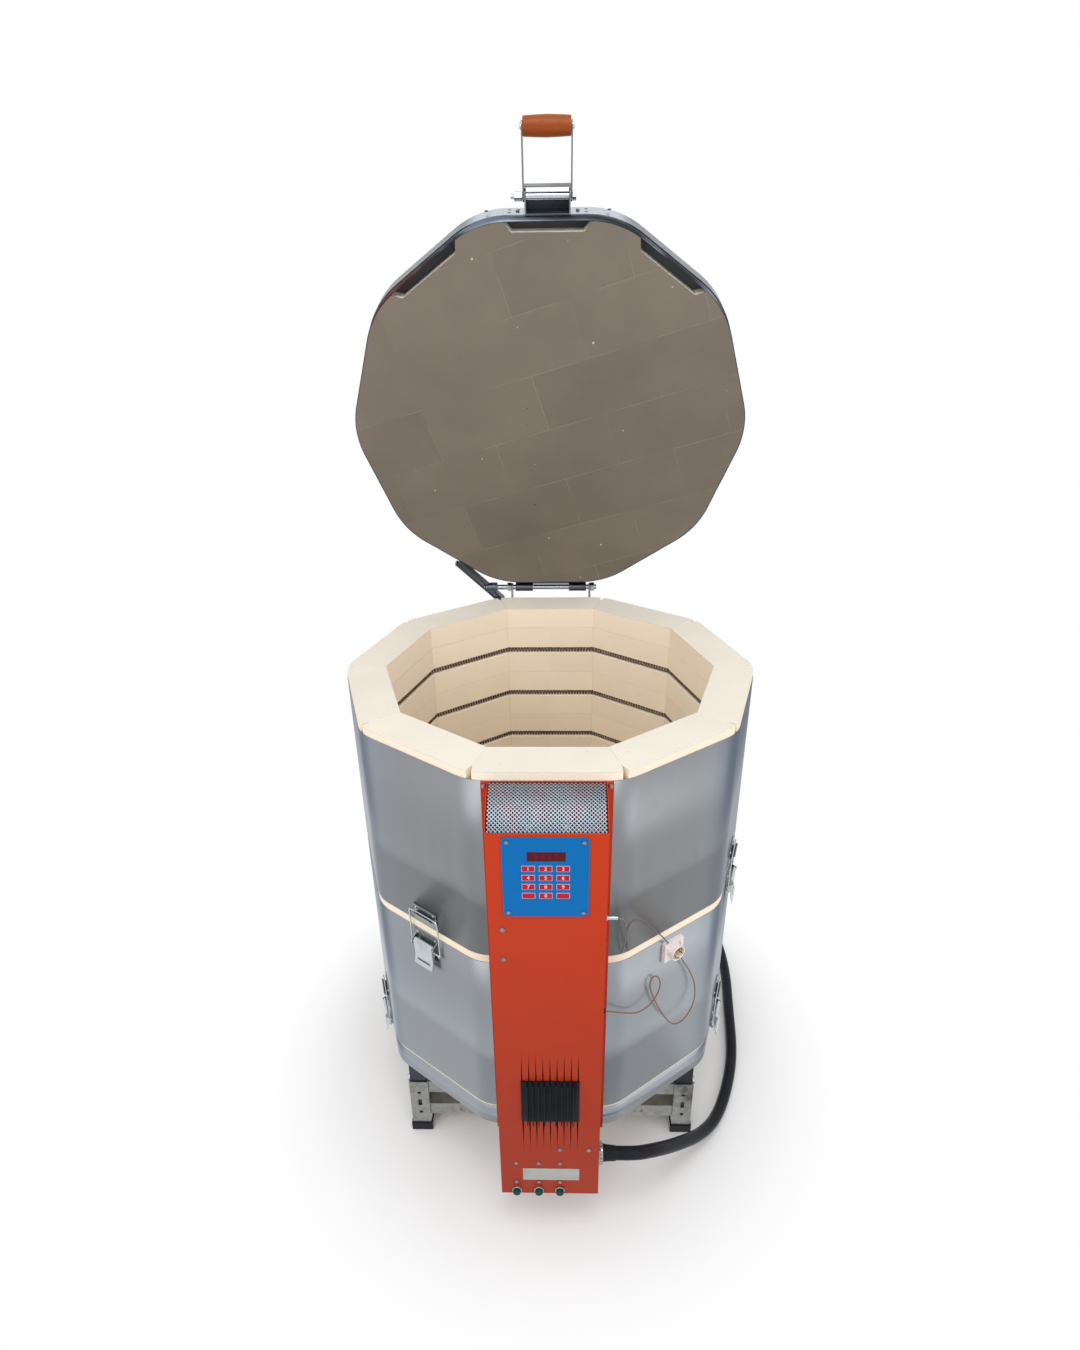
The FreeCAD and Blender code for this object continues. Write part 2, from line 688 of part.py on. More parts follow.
def handle_bolt():
    """The cross bolt with its spacer, head and lock nuts."""
    outer = HANDLE_SPAN / 2 + SIDE_CLEARANCE
    inner = HANDLE_SPAN / 2 - 2 * HANDLE_SHEET - SIDE_CLEARANCE
    y, z = HANDLE_PIVOT_Y, HANDLE_PIVOT_Z
    shank = rod(HANDLE_BOLT_RADIUS, (-outer - 20, y, z), (outer, y, z))
    spacer = facet_rod(HANDLE_BOLT_RADIUS + 3, (-inner, y, z), (inner, y, z), 12)
    head = nut(8, (outer, y, z), outer + 6)
    return shank.fuse([spacer, head, nut(8, (-outer, y, z), -outer - 14)])


def handle_bail():
    """Two flat straps joined by a web just past the bolt, drilled for the grip's rod."""
    outer = HANDLE_SPAN / 2
    y1, z = HANDLE_PIVOT_Y, HANDLE_PIVOT_Z
    half = HANDLE_STRAP_WIDTH / 2
    sides = []
    for x0 in (-outer, outer - HANDLE_SHEET):
        outline = []
        for y, way in ((GRIP_Y, -1), (y1, 1)):
            tip = [(0.4, -1), (1, -0.4), (1, 0.4), (0.4, 1)]
            outline += [(x0, y + way * half * a, z + way * half * b) for a, b in tip]
        sides.append(prism(outline, (HANDLE_SHEET, 0, 0)))
    web_y = y1 - HANDLE_WEB_OUT
    web = block(-outer, outer, web_y - HANDLE_SHEET, web_y, z - half, z + half)
    bail = web.fuse(sides)
    radius = HANDLE_BOLT_RADIUS + SHAFT_CLEARANCE
    bail = bail.cut(rod(radius, (-outer - 1, y1, z), (outer + 1, y1, z)))
    return bail.cut(facet_rod(GRIP_ROD_RADIUS, (-outer - 1, GRIP_Y, z), (outer + 1, GRIP_Y, z), 8))


def handle_grip():
    """A wooden grip on its rod, turned about X and fuller in the middle."""
    inner = HANDLE_SPAN / 2 - HANDLE_SHEET
    z = HANDLE_PIVOT_Z
    taper = GRIP_RADIUS - GRIP_TAPER
    middle = (0, GRIP_Y, z)
    ends = [facet_cone(GRIP_RADIUS, taper, middle, (way * inner, GRIP_Y, z), 16) for way in (-1, 1)]
    outer = HANDLE_SPAN / 2 + 3
    rods = facet_rod(GRIP_ROD_RADIUS, (-outer, GRIP_Y, z), (outer, GRIP_Y, z), 8)
    return ends[0].fuse([ends[1], rods])


def make_lid():
    slab = decagon(LID_APOTHEM, LID_CORNER_RADIUS, LID_BOTTOM, LID_TOP)
    for azimuth in (-2 * HALF_TURN, 0, 2 * HALF_TURN):
        slab = slab.cut(turned(lid_notch(), azimuth))
    band = sleeve(LID_APOTHEM, LID_CORNER_RADIUS, JACKET_SHEET, LID_BOTTOM, LID_TOP)
    pieces = {
        "lid_brick": slab,
        "lid_band": band,
        "lid_strap": lid_strap(),
        "lid_hinge_leaf": hinge_leaf(),
        "lid_brace": lid_brace(),
        "handle_bracket": handle_bracket(),
        "handle_bolt": handle_bolt(),
        "handle_bail": handle_bail(),
        "handle_grip": handle_grip(),
    }
    for name, shape in pieces.items():
        keep(name, opened(shape))


# Control box


def slot_cutter(x):
    """A long slot that tapers to a point at each end."""
    half = SLOT_WIDTH / 2
    middle = (SLOT_TOP + SLOT_BOTTOM) / 2
    span = (SLOT_TOP - SLOT_BOTTOM) / 2
    outline = [
        (x, -BOX_FRONT - 1, SLOT_TOP),
        (x + half, -BOX_FRONT - 1, middle + span * 0.4),
        (x + half, -BOX_FRONT - 1, middle - span * 0.4),
        (x, -BOX_FRONT - 1, SLOT_BOTTOM),
        (x - half, -BOX_FRONT - 1, middle - span * 0.4),
        (x - half, -BOX_FRONT - 1, middle + span * 0.4),
    ]
    return prism(outline, (0, BOX_SHEET + 2, 0))


def slot_places():
    return [SLOT_PITCH * (k - (SLOT_COUNT - 1) / 2) + 2 for k in range(SLOT_COUNT)]


def grille_bends(offset):
    """The side view of the vent's bulge: three flat strips from the jacket's top to the panel's."""
    top = Vector(0, -BACKPLATE_FRONT, JACKET_TOP - 0.5)
    bottom = Vector(0, -BOX_FRONT, PANEL_TOP)
    chord = bottom - top
    out = Vector(0, chord.z, -chord.y).normalize()
    shares = ((0, 0), (0.27, 0.85), (0.73, 0.85), (1, 0))
    return [top + chord * along + out * (GRILLE_BULGE * rise + offset) for along, rise in shares]


def side_wall(x):
    """A cheek of the cover whose top follows the vent."""
    top = [(x, p.y, p.z) for p in grille_bends(0)]
    low = [(x, -BOX_FRONT, BOX_BOTTOM), (x, -BACKPLATE_FRONT, BOX_BOTTOM)]
    return prism(top + low, (BOX_SHEET, 0, 0))


def box_cover():
    """The folded sheet cover: front, two cheeks and a bottom, with its slots and holes."""
    half = BOX_WIDTH / 2
    front = block(-half, half, -BOX_FRONT, -SHEET_INNER, BOX_BOTTOM, PANEL_TOP)
    bottom = block(-half, half, -BOX_FRONT, -BACKPLATE_FRONT, BOX_BOTTOM, BOX_BOTTOM + BOX_SHEET)
    cover = front.fuse([bottom, side_wall(-half), side_wall(half - BOX_SHEET)])
    cuts = [slot_cutter(x) for x in slot_places()]
    for x in FUSE_CENTRES:
        cuts.append(facet_rod(FUSE_BODY_RADIUS + FIT, (x, -BOX_FRONT - 1, FUSE_HEIGHT), (x, 1 - SHEET_INNER, FUSE_HEIGHT)))
    y, z = gland_place()
    inside = half - BOX_SHEET - 1
    cuts.append(facet_rod(CORD_DIAMETER / 2 + GLAND_WALL, (inside, y, z), (half + 1, y, z), 12))
    for y, z in (PROBE_FITTING, LEAD_GROMMET):
        cuts.append(facet_rod(LEAD_DIAMETER / 2 + 2, (inside, y, z), (half + 1, y, z), 8))
    x0, x1, z0, z1 = controller_window()
    cuts.append(block(x0, x1, -BOX_FRONT - 1, 1 - SHEET_INNER, z0, z1))
    return cover.cut(Part.makeCompound(cuts))


def controller_window():
    """The hole in the panel behind the controller plate."""
    margin = 12
    half = CONTROLLER_WIDTH / 2 - margin
    top = CONTROLLER_TOP - margin
    return CONTROLLER_X - half, CONTROLLER_X + half, top - CONTROLLER_HEIGHT + 2 * margin, top


def gland_place():
    return -(BACKPLATE_FRONT + BOX_FRONT) / 2, GLAND_HEIGHT


def box_backplate():
    """The mounting plate: wide on the jacket, narrow below the floor of the kiln."""
    half = FLANGE_WIDTH / 2
    narrow = BOX_WIDTH / 2
    low = FLOOR_UNDERSIDE - 8
    wide = block(-half, half, -BACKPLATE_FRONT, -JACKET_APOTHEM, low, JACKET_TOP)
    tongue = block(-narrow, narrow, -BACKPLATE_FRONT, -JACKET_APOTHEM, BOX_BOTTOM, low)
    return wide.fuse(tongue).cut(tail_window(LOWER_GROOVES)).cut(tail_window(UPPER_GROOVES))


def flange_screw_places():
    x = (BOX_WIDTH + FLANGE_WIDTH) / 4
    heights = (JACKET_TOP - 8, MID_JOINT + 40, MID_JOINT - 60, FLOOR_TOP + 30)
    return [(side * x, z) for side in (-1, 1) for z in heights]


def bent_sheet(inner, outer, x0, x1):
    """A sheet of flat strips between two side outlines."""
    outline = [(x0, p.y, p.z) for p in inner] + [(x0, p.y, p.z) for p in reversed(outer)]
    return prism(outline, (x1 - x0, 0, 0))


def vent_grille():
    """The bulged perforated sheet over the top of the box, with rows of holes in each strip."""
    inner = grille_bends(0)
    half = BOX_WIDTH / 2 - GRILLE_INSET
    sheet = bent_sheet(inner, grille_bends(GRILLE_SHEET), -half, half)
    columns = int((2 * half - GRILLE_MARGIN) // GRILLE_PITCH)
    cuts = []
    for low, high in zip(inner, inner[1:]):
        way = (high - low).normalize()
        out = Vector(0, way.z, -way.y)
        length = (high - low).Length
        rows = int((length - GRILLE_HOLE) // GRILLE_PITCH) + 1
        for r in range(rows):
            along = length / 2 + (r - (rows - 1) / 2) * GRILLE_PITCH
            for c in range(columns):
                x = (c - (columns - 1) / 2) * GRILLE_PITCH
                start = low + way * along + Vector(x, 0, 0) - out
                cuts.append(facet_rod(GRILLE_HOLE / 2, start, start + out * (GRILLE_SHEET + 2), 4))
    return sheet.cut(Part.makeCompound(cuts))


def box_screws():
    screws = [screw_head((x, -BACKPLATE_FRONT, z), (0, -1, 0)) for x, z in flange_screw_places()]
    for x, z in PANEL_SCREWS:
        screws.append(screw_head((x, -BOX_FRONT, z), (0, -1, 0)))
    for x in FUSE_CENTRES:
        for z in (FUSE_HEIGHT + 22, FUSE_HEIGHT + 77.5):
            screws.append(screw_head((x, -BOX_FRONT, z), (0, -1, 0), 3))
    return screws


def controller_plate():
    """The blue face plate, cut for the display, and its corner screws."""
    half = CONTROLLER_WIDTH / 2
    y0 = -BOX_FRONT - CONTROLLER_PLATE
    z1 = CONTROLLER_TOP
    plate = block(CONTROLLER_X - half, CONTROLLER_X + half, y0, -BOX_FRONT, z1 - CONTROLLER_HEIGHT, z1)
    half_d = DISPLAY_WIDTH / 2
    z = DISPLAY_TOP
    window = block(DISPLAY_X - half_d, DISPLAY_X + half_d, y0 - 1, 1 - BOX_FRONT, z - DISPLAY_HEIGHT, z)
    corners = []
    for sx in (-1, 1):
        for zc in (z1 - 7, z1 - CONTROLLER_HEIGHT + 7):
            corners.append(screw_head((CONTROLLER_X + sx * (half - 7), y0, zc), (0, -1, 0), 3.5))
    return plate.cut(window), corners


def display_window():
    half = DISPLAY_WIDTH / 2
    z = DISPLAY_TOP
    y0 = -BOX_FRONT - CONTROLLER_PLATE
    return block(DISPLAY_X - half, DISPLAY_X + half, y0 + 0.6, -BOX_FRONT + 8, z - DISPLAY_HEIGHT, z)


def keypad():
    """Twelve flat membrane keys on the controller plate."""
    y0 = -BOX_FRONT - CONTROLLER_PLATE
    half = KEY_WIDTH / 2
    keys = []
    for row in range(KEY_ROWS):
        for column in range(KEY_COLUMNS):
            x = CONTROLLER_X + (column - (KEY_COLUMNS - 1) / 2) * KEY_PITCH_X
            z = KEY_TOP - row * KEY_PITCH_Z
            keys.append(block(x - half, x + half, y0 - 0.8, y0, z - KEY_HEIGHT, z))
    return keys


def controller_board():
    """The circuit board behind the controller plate, on its four posts."""
    x0, x1, z0, z1 = controller_window()
    y0 = -BOX_FRONT
    y1 = y0 + BOARD_GAP
    board = block(x0 + 3, x1 - 3, y1, y1 + 1.6, z0 + 3, z1 - 3)
    posts = []
    for x in (x0 + 5, x1 - 10):
        for z in (z0 + 5, z1 - 10):
            posts.append(block(x, x + 5, y0, y1, z, z + 5))
    return board.fuse(posts)


def relays():
    """Three relays side by side on the back plate, level with the middle joint."""
    half = RELAY / 2
    y = -BACKPLATE_FRONT
    cans = []
    for x in (-RELAY_PITCH, 0, RELAY_PITCH):
        cans.append(block(x - half, x + half, y - RELAY_HEIGHT, y, MID_JOINT - half, MID_JOINT + half))
    return cans


def terminal_block():
    """The mains terminal block near the gland: four barriers on a base."""
    z0 = GLAND_HEIGHT + 52
    z1 = z0 + 36
    y = -BACKPLATE_FRONT
    base = block(-45, 45, y - 10, y, z0, z1)
    walls = [block(x - 1.5, x + 1.5, y - 22, y - 10, z0, z1) for x in (-43.5, -14.5, 14.5, 43.5)]
    return base.fuse(walls)


def heat_sink():
    """The black finned sink on the front panel."""
    half = SINK_WIDTH / 2
    y0 = -BOX_FRONT - SINK_BASE
    top = SINK_BOTTOM + SINK_HEIGHT
    sink = block(-half + 2, half + 2, y0, -BOX_FRONT, SINK_BOTTOM, top)
    pitch = (SINK_WIDTH - 22) / (SINK_FINS - 1)
    fins = []
    for k in range(SINK_FINS):
        x = 2 + (k - (SINK_FINS - 1) / 2) * pitch
        fins.append(block(x - SINK_FIN_SHEET / 2, x + SINK_FIN_SHEET / 2, y0 - SINK_FIN, y0, SINK_BOTTOM, top))
    return sink.fuse(fins)


def fuse_holder(x):
    """A ring nut on the panel, a cap in front and the body behind."""
    z = FUSE_HEIGHT
    y = -BOX_FRONT
    ring = facet_rod(FUSE_RING_RADIUS, (x, y, z), (x, y - 3, z), 12)
    cap = facet_cone(FUSE_CAP_RADIUS, FUSE_CAP_RADIUS - 1, (x, y - 3, z), (x, y - 16, z))
    body = facet_rod(FUSE_BODY_RADIUS, (x, y, z), (x, y + 36, z))
    return ring.fuse([cap, body])


def make_control_box():
    plate, corner_screws = controller_plate()
    keep("box_backplate", box_backplate())
    keep("box_cover", box_cover())
    keep("vent_grille", vent_grille())
    keep("box_screws", *(box_screws() + corner_screws))
    keep("controller_plate", plate)
    keep("display_window", display_window())
    keep("keypad", *keypad())
    keep("controller_board", controller_board())
    keep("relays", *relays())
    keep("terminal_block", terminal_block())
    keep("heat_sink", heat_sink())
    keep("fuse_holders", *[fuse_holder(x) for x in FUSE_CENTRES])


# Cord, gland and thermocouple


def cord_route():
    """Points of the power cord, from its gland round the right side to its plug at the back."""
    y, z = gland_place()
    start = BOX_WIDTH / 2 + GLAND_OUT
    floor = CORD_DIAMETER / 2 + 0.3
    return [
        (start, y, z),
        (start + 50, y + 2, z - 6),
        (start + 93, y + 25, z - 29),
        (start + 136, y + 64, z - 73),
        (start + 209, y + 133, z - 139),
        (start + 258, y + 196, floor + 5),
        (403, -131, floor),
        (431, -40, floor),
        (446, 90, floor),
        (463, 226, floor),
        (455, 368, floor),
        (387, 484, floor),
        (272, 545, floor),
        (143, 552, floor),
        (22, 531, floor),
        (-92, 496, floor),
        (-196, 452, floor),
    ]


def smooth_path(points):
    """Straight runs joined by the largest arcs that 0.45 of the shorter run allows."""
    corners = [Vector(*p) for p in points]
    edges = []
    radii = []
    start = corners[0]
    for before, here, after in zip(corners, corners[1:], corners[2:]):
        inward = before - here
        outward = after - here
        cut = 0.45 * min(inward.Length, outward.Length)
        inward.normalize()
        outward.normalize()
        turn = math.pi - inward.getAngle(outward)
        radius = cut / math.tan(turn / 2)
        first = here + inward * cut
        last = here + outward * cut
        middle_way = (inward + outward).normalize()
        middle = here + middle_way * (radius / math.cos(turn / 2) - radius)
        edges.append(Part.LineSegment(start, first).toShape())
        edges.append(Part.Arc(first, middle, last).toShape())
        radii.append(round(radius))
        start = last
    edges.append(Part.LineSegment(start, corners[-1]).toShape())
    return Part.Wire(edges), radii


def cord_tube(points, diameter, sides):
    """A closed tube with flat sides along a route, as thick in area as the round cord."""
    path, radii = smooth_path(points)
    start = Vector(*points[0])
    area = math.pi * diameter**2 / 4
    radius = math.sqrt(2 * area / (sides * math.sin(2 * math.pi / sides)))
    ring = facet_ring(radius, start, Vector(*points[1]) - start, sides)
    tube = path.makePipeShell([ring], True, False)
    print("cord length", round(path.Length), "radii", radii, "volume ratio", round(tube.Volume / (area * path.Length), 5))
    return tube


def on_side_flat(along, out, z):
    """A point beside the right front flat: along it, out from the jacket, and its height."""
    angle = math.radians(LEAD_AZIMUTH)
    apothem = JACKET_APOTHEM + out
    x = apothem * math.sin(angle) + along * math.cos(angle)
    y = -apothem * math.cos(angle) + along * math.sin(angle)
    return (x, y, z)


def thermocouple_lead_route():
    """From the foot of the ceramic block, round a hanging loop, to the grommet in the box."""
    foot = BLOCK_CENTRE - BLOCK_HEIGHT / 2
    hanging = [
        (17, 5, foot),
        (24, 8, foot - 20),
        (41, 11, 528),
        (58, 13, 486),
        (62, 14, 440),
        (45, 13, 405),
        (15, 12, 400),
        (-9, 11, 432),
        (-30, 10, 475),
        (-47, 9, 516),
        (-55, 8, 545),
        (-50, 8, 562),
        (-38, 11, 560),
        (-33, 15, 540),
        (-44, 17, 518),
        (-64, 17, 505),
        (-88, 15, 503),
        (-114, 12, 518),
    ]
    y, z = LEAD_GROMMET
    return [on_side_flat(*p) for p in hanging] + [(BOX_WIDTH / 2 + GROMMET_OUT, y, z)]


def fitting_lead_route():
    """From the tube fitting on the box down into the notch of the middle joint."""
    y, z = PROBE_FITTING
    start = BOX_WIDTH / 2 + FITTING_OUT
    return [
        (start, y, z),
        (start + 10, y + 5, z - 5),
        (start + 15, y + 9, z - 26),
        (start + 16, y + 14, z - 56),
        (start + 14, y + 19, z - 84),
        (start + 11, y + 27, z - 102),
    ]


def block_lead_route():
    """From the edge of the lower jacket, up over the joint and down to the ceramic block."""
    top = BLOCK_CENTRE + BLOCK_HEIGHT / 2
    return [
        on_side_flat(-104, 1.5, MID_JOINT + 14),
        on_side_flat(-112, 7, MID_JOINT + 34),
        on_side_flat(-119, 11, MID_JOINT + 60),
        on_side_flat(-117, 12, MID_JOINT + 82),
        on_side_flat(-104, 12, MID_JOINT + 90),
        on_side_flat(-86, 11, MID_JOINT + 76),
        on_side_flat(-60, 10, MID_JOINT + 44),
        on_side_flat(-36, 9, MID_JOINT + 16),
        on_side_flat(-18, 7, top + 8),
        on_side_flat(-12, 5, top),
    ]


def probe_way(radius, start, end):
    """A rod through the wall of the right front flat, between two distances from the axis."""
    way = facet_rod(radius, (0, -start, BLOCK_CENTRE), (0, -end, BLOCK_CENTRE), 8)
    return turned(way, LEAD_AZIMUTH)


def make_thermocouple():
    """A ceramic terminal block with a round cup, its probe through the wall, and its leads."""
    face = JACKET_APOTHEM
    front = face + BLOCK_THICKNESS
    half_w = BLOCK_WIDTH / 2
    half_h = BLOCK_HEIGHT / 2
    base = block(-half_w, half_w, -front, -face, BLOCK_CENTRE - half_h, BLOCK_CENTRE + half_h)
    rim = front + CUP_HEIGHT
    cup = facet_rod(CUP_RADIUS, (0, -front, BLOCK_CENTRE), (0, -rim, BLOCK_CENTRE), 16)
    hollow = facet_rod(CUP_RADIUS - CUP_WALL, (0, -front, BLOCK_CENTRE), (0, -rim - 1, BLOCK_CENTRE), 16)
    ceramic = base.fuse(cup.cut(hollow))
    screws = []
    for place in (-TERMINAL_PITCH, 0, TERMINAL_PITCH):
        head = facet_rod(TERMINAL_RADIUS, (place, -front, BLOCK_CENTRE + 1), (place, -front - 7, BLOCK_CENTRE + 1))
        screws.append(turned(head, LEAD_AZIMUTH))
    keep("thermocouple_block", turned(ceramic, LEAD_AZIMUTH))
    keep("thermocouple_terminals", *screws)
    keep("thermocouple_probe", probe_way(PROBE_RADIUS, face, CHAMBER_APOTHEM - PROBE_REACH))
    keep("thermocouple_lead", cord_tube(thermocouple_lead_route(), LEAD_DIAMETER, 4))
    keep("fitting_lead", cord_tube(fitting_lead_route(), LEAD_DIAMETER, 4))
    keep("block_lead", cord_tube(block_lead_route(), LEAD_DIAMETER, 4))


def lead_fittings():
    """A flanged metal tube for one lead and a rubber grommet for the other, in the box's cheek."""
    wall = BOX_WIDTH / 2
    inside = wall - BOX_SHEET
    pieces = []
    for (y, z), out in ((PROBE_FITTING, FITTING_OUT), (LEAD_GROMMET, GROMMET_OUT)):
        neck = facet_rod(LEAD_DIAMETER / 2 + 2, (inside, y, z), (wall + out, y, z), 8)
        collar = facet_rod(LEAD_DIAMETER / 2 + 4, (wall, y, z), (wall + 3, y, z), 8)
        pieces.append(neck.fuse(collar))
    return pieces


def cord_gland():
    """A gland in the box's cheek: a lock ring inside, a hexagon and a tapered nut outside."""
    y, z = gland_place()
    wall = BOX_WIDTH / 2
    inside = wall - BOX_SHEET
    hole = CORD_DIAMETER / 2 + GLAND_WALL
    neck = facet_rod(hole, (inside, y, z), (wall, y, z), 12)
    ring = facet_rod(GLAND_RADIUS, (inside - 5, y, z), (inside, y, z), 12)
    hexagon = nut(GLAND_RADIUS + 2, (wall, y, z), wall + GLAND_NUT)
    dome = facet_cone(GLAND_RADIUS, hole, (wall + GLAND_NUT, y, z), (wall + GLAND_OUT, y, z))
    return neck.fuse([ring, hexagon, dome])


def power_plug():
    """A tapered plug with three pins, lying on the floor at the cord's end."""
    last = Vector(*cord_route()[-1])
    before = Vector(*cord_route()[-2])
    way = (last - before).normalize()
    side = Vector(-way.y, way.x, 0)
    up = Vector(0, 0, 1)
    lift = up * (PLUG_RADIUS - CORD_DIAMETER / 2)
    shoulder = last + lift + way * PLUG_TAPER
    face = shoulder + way * PLUG_HEAD
    body = facet_cone(CORD_DIAMETER / 2 + 2, PLUG_RADIUS, last + lift, shoulder)
    head = facet_rod(PLUG_RADIUS, shoulder, face, 12)
    pins = []
    for across in (-9, 9):
        low = face + side * (across - 1)
        outline = [low, low + side * 2, low + side * 2 + up * 12, low + up * 12]
        pins.append(prism([tuple(p) for p in outline], tuple(way * PLUG_PIN)))
    pins.append(facet_rod(3, face - up * 8, face - up * 8 + way * PLUG_PIN, 8))
    return body.fuse([head] + pins)


def make_cords():
    keep("cord_gland", cord_gland())
    keep("lead_fittings", *lead_fittings())
    keep("power_cord", cord_tube(cord_route(), CORD_DIAMETER, 8))
    keep("power_plug", power_plug())


# Draw latches, made on the front flat at a joint and turned to their own flat


def latch_point(x, out, up, joint):
    return (x, -(JACKET_APOTHEM + out), joint + up)


def latch_profile(points, half_width, joint, x0=None):
    """Extrude an outline of (out, up) pairs along the flat."""
    start = -half_width if x0 is None else x0
    outline = [latch_point(start, out, up, joint) for out, up in points]
    return prism(outline, (2 * half_width, 0, 0))


def latch_keeper(joint):
    """A plate on the upper side of the joint, and the slanted tongue that holds the bail's bar."""
    sheet = LATCH_SHEET
    plate = [(0, KEEPER_BOTTOM), (sheet, KEEPER_BOTTOM), (sheet, KEEPER_TOP), (0, KEEPER_TOP)]
    root = BAIL_SEAT - BAIL_RADIUS - HOOK_DROP
    tip = root + HOOK_LIP
    nose = BAIL_SEAT_OUT + BAIL_RADIUS + HOOK_ROOM + 0.5 * sheet
    tongue = [
        (sheet, root - HOOK_FALL - TONGUE_SHEET),
        (nose + 0.7, tip - TONGUE_SHEET + 0.8),
        (nose + 0.7, tip - 0.4),
        (nose - 0.7, tip),
        (sheet, root - HOOK_FALL),
    ]
    half = HOOK_WIDTH / 2
    return [latch_profile(plate, LATCH_WIDTH / 2, joint), latch_profile(tongue, half, joint)]


def latch_ear(x0, joint):
    """A cheek of the base that carries the pin, trimmed clear of the bail's axle."""
    up = -LEVER_PIVOT_DOWN
    eye = LATCH_PIN_RADIUS + 3
    outline = [
        (LATCH_SHEET, up - 8),
        (LEVER_PIVOT_OUT, up - eye),
        (LEVER_PIVOT_OUT + eye, up - eye / 2),
        (LEVER_PIVOT_OUT + eye, up + eye / 2),
        (LEVER_PIVOT_OUT, up + eye),
        (LATCH_SHEET, up + 10),
    ]
    return latch_profile(outline, LATCH_SHEET / 2, joint, x0)


def latch_base(joint):
    """A plate on the lower side of the joint, with two ears and the pin riveted in them."""
    half = LATCH_WIDTH / 2
    plate = latch_profile(
        [(0, BASE_BOTTOM), (LATCH_SHEET, BASE_BOTTOM), (LATCH_SHEET, BASE_TOP), (0, BASE_TOP)],
        half,
        joint,
    )
    inner = LEVER_WIDTH / 2 + 2
    outer = inner + LATCH_SHEET
    ears = [latch_ear(-outer, joint), latch_ear(inner, joint)]
    start = latch_point(-outer, LEVER_PIVOT_OUT, -LEVER_PIVOT_DOWN, joint)
    end = latch_point(outer, LEVER_PIVOT_OUT, -LEVER_PIVOT_DOWN, joint)
    return plate.fuse(ears + [rod(LATCH_PIN_RADIUS, start, end)])


def latch_lever(joint):
    """A bent plate with a slot, rolled round the base's pin, that carries the bail's axle."""
    half = LEVER_WIDTH / 2
    up = -LEVER_PIVOT_DOWN
    eye = LATCH_PIN_RADIUS + 2.3
    tip = up - LEVER_LENGTH
    face = latch_profile(
        [
            (LEVER_PIVOT_OUT + eye, up),
            (LEVER_PIVOT_OUT + eye - 1.6, up - 34),
            (LEVER_PIVOT_OUT + eye + 2.4, tip),
            (LEVER_PIVOT_OUT + eye + 0.4, tip),
            (LEVER_PIVOT_OUT + eye - 3.6, up - 34),
            (LEVER_PIVOT_OUT + eye - 2, up),
        ],
        half,
        joint,
    )
    start = latch_point(-half, LEVER_PIVOT_OUT, up, joint)
    roll = facet_rod(eye, start, latch_point(half, LEVER_PIVOT_OUT, up, joint), 8)
    cheeks = []
    for x0 in (-half, half - LATCH_SHEET):
        outline = [
            (LEVER_PIVOT_OUT, up + 1),
            (LEVER_PIVOT_OUT + eye - 0.6, up),
            (LEVER_PIVOT_OUT + eye - 1.6, up - 30),
            (BAIL_PIVOT_OUT, -BAIL_PIVOT_DOWN - 4),
            (LATCH_SHEET + FIT, -BAIL_PIVOT_DOWN),
            (BAIL_PIVOT_OUT, -BAIL_PIVOT_DOWN + 6),
        ]
        cheeks.append(latch_profile(outline, LATCH_SHEET / 2, joint, x0))
    reach = BAIL_ARM + BAIL_RADIUS + 1.5
    start = latch_point(-reach, BAIL_PIVOT_OUT, -BAIL_PIVOT_DOWN, joint)
    end = latch_point(reach, BAIL_PIVOT_OUT, -BAIL_PIVOT_DOWN, joint)
    lever = face.fuse([roll, rod(LATCH_PIN_RADIUS, start, end)] + cheeks)
    bore = LATCH_PIN_RADIUS + SHAFT_CLEARANCE
    start = latch_point(-half - 1, LEVER_PIVOT_OUT, up, joint)
    end = latch_point(half + 1, LEVER_PIVOT_OUT, up, joint)
    slot = latch_profile([(0, up - 41), (30, up - 41), (30, up - 37), (0, up - 37)], half - 7, joint)
    return lever.cut(rod(bore, start, end)).cut(slot)


def latch_bail(joint):
    """A wire loop from the lever's axle up over the hook, with an eye at each end."""
    down = -BAIL_PIVOT_DOWN
    eye = LATCH_PIN_RADIUS + 2
    share = (BAIL_SEAT - BAIL_BEND - down) / (BAIL_SEAT - down)
    bend_out = BAIL_PIVOT_OUT + (BAIL_SEAT_OUT - BAIL_PIVOT_OUT) * share
    half = [
        (BAIL_ARM, BAIL_PIVOT_OUT, down + eye - 1),
        (BAIL_ARM, bend_out, BAIL_SEAT - BAIL_BEND),
        (BAIL_ARM - BAIL_BEND, BAIL_SEAT_OUT, BAIL_SEAT),
    ]
    points = half + [(-x, out, up) for x, out, up in reversed(half)]
    bail = mitred_tube([latch_point(x, out, up, joint) for x, out, up in points], BAIL_RADIUS)
    for x in (-BAIL_ARM, BAIL_ARM):
        start = latch_point(x - BAIL_RADIUS, BAIL_PIVOT_OUT, down, joint)
        end = latch_point(x + BAIL_RADIUS, BAIL_PIVOT_OUT, down, joint)
        bail = bail.fuse(facet_rod(eye, start, end, 8)).cut(rod(LATCH_PIN_RADIUS + SHAFT_CLEARANCE, start, end))
    return bail


def make_latches():
    """Two latches across the middle joint and two across the floor joint."""
    keepers = []
    bases = []
    for place, azimuth, joint in LATCHES:
        keepers += [turned(shape, azimuth) for shape in latch_keeper(joint)]
        bases.append(turned(latch_base(joint), azimuth))
        keep(place + "_latch_lever", turned(latch_lever(joint), azimuth))
        keep(place + "_latch_bail", turned(latch_bail(joint), azimuth))
    keep("latch_keepers", *keepers)
    keep("latch_bases", *bases)


# Stand


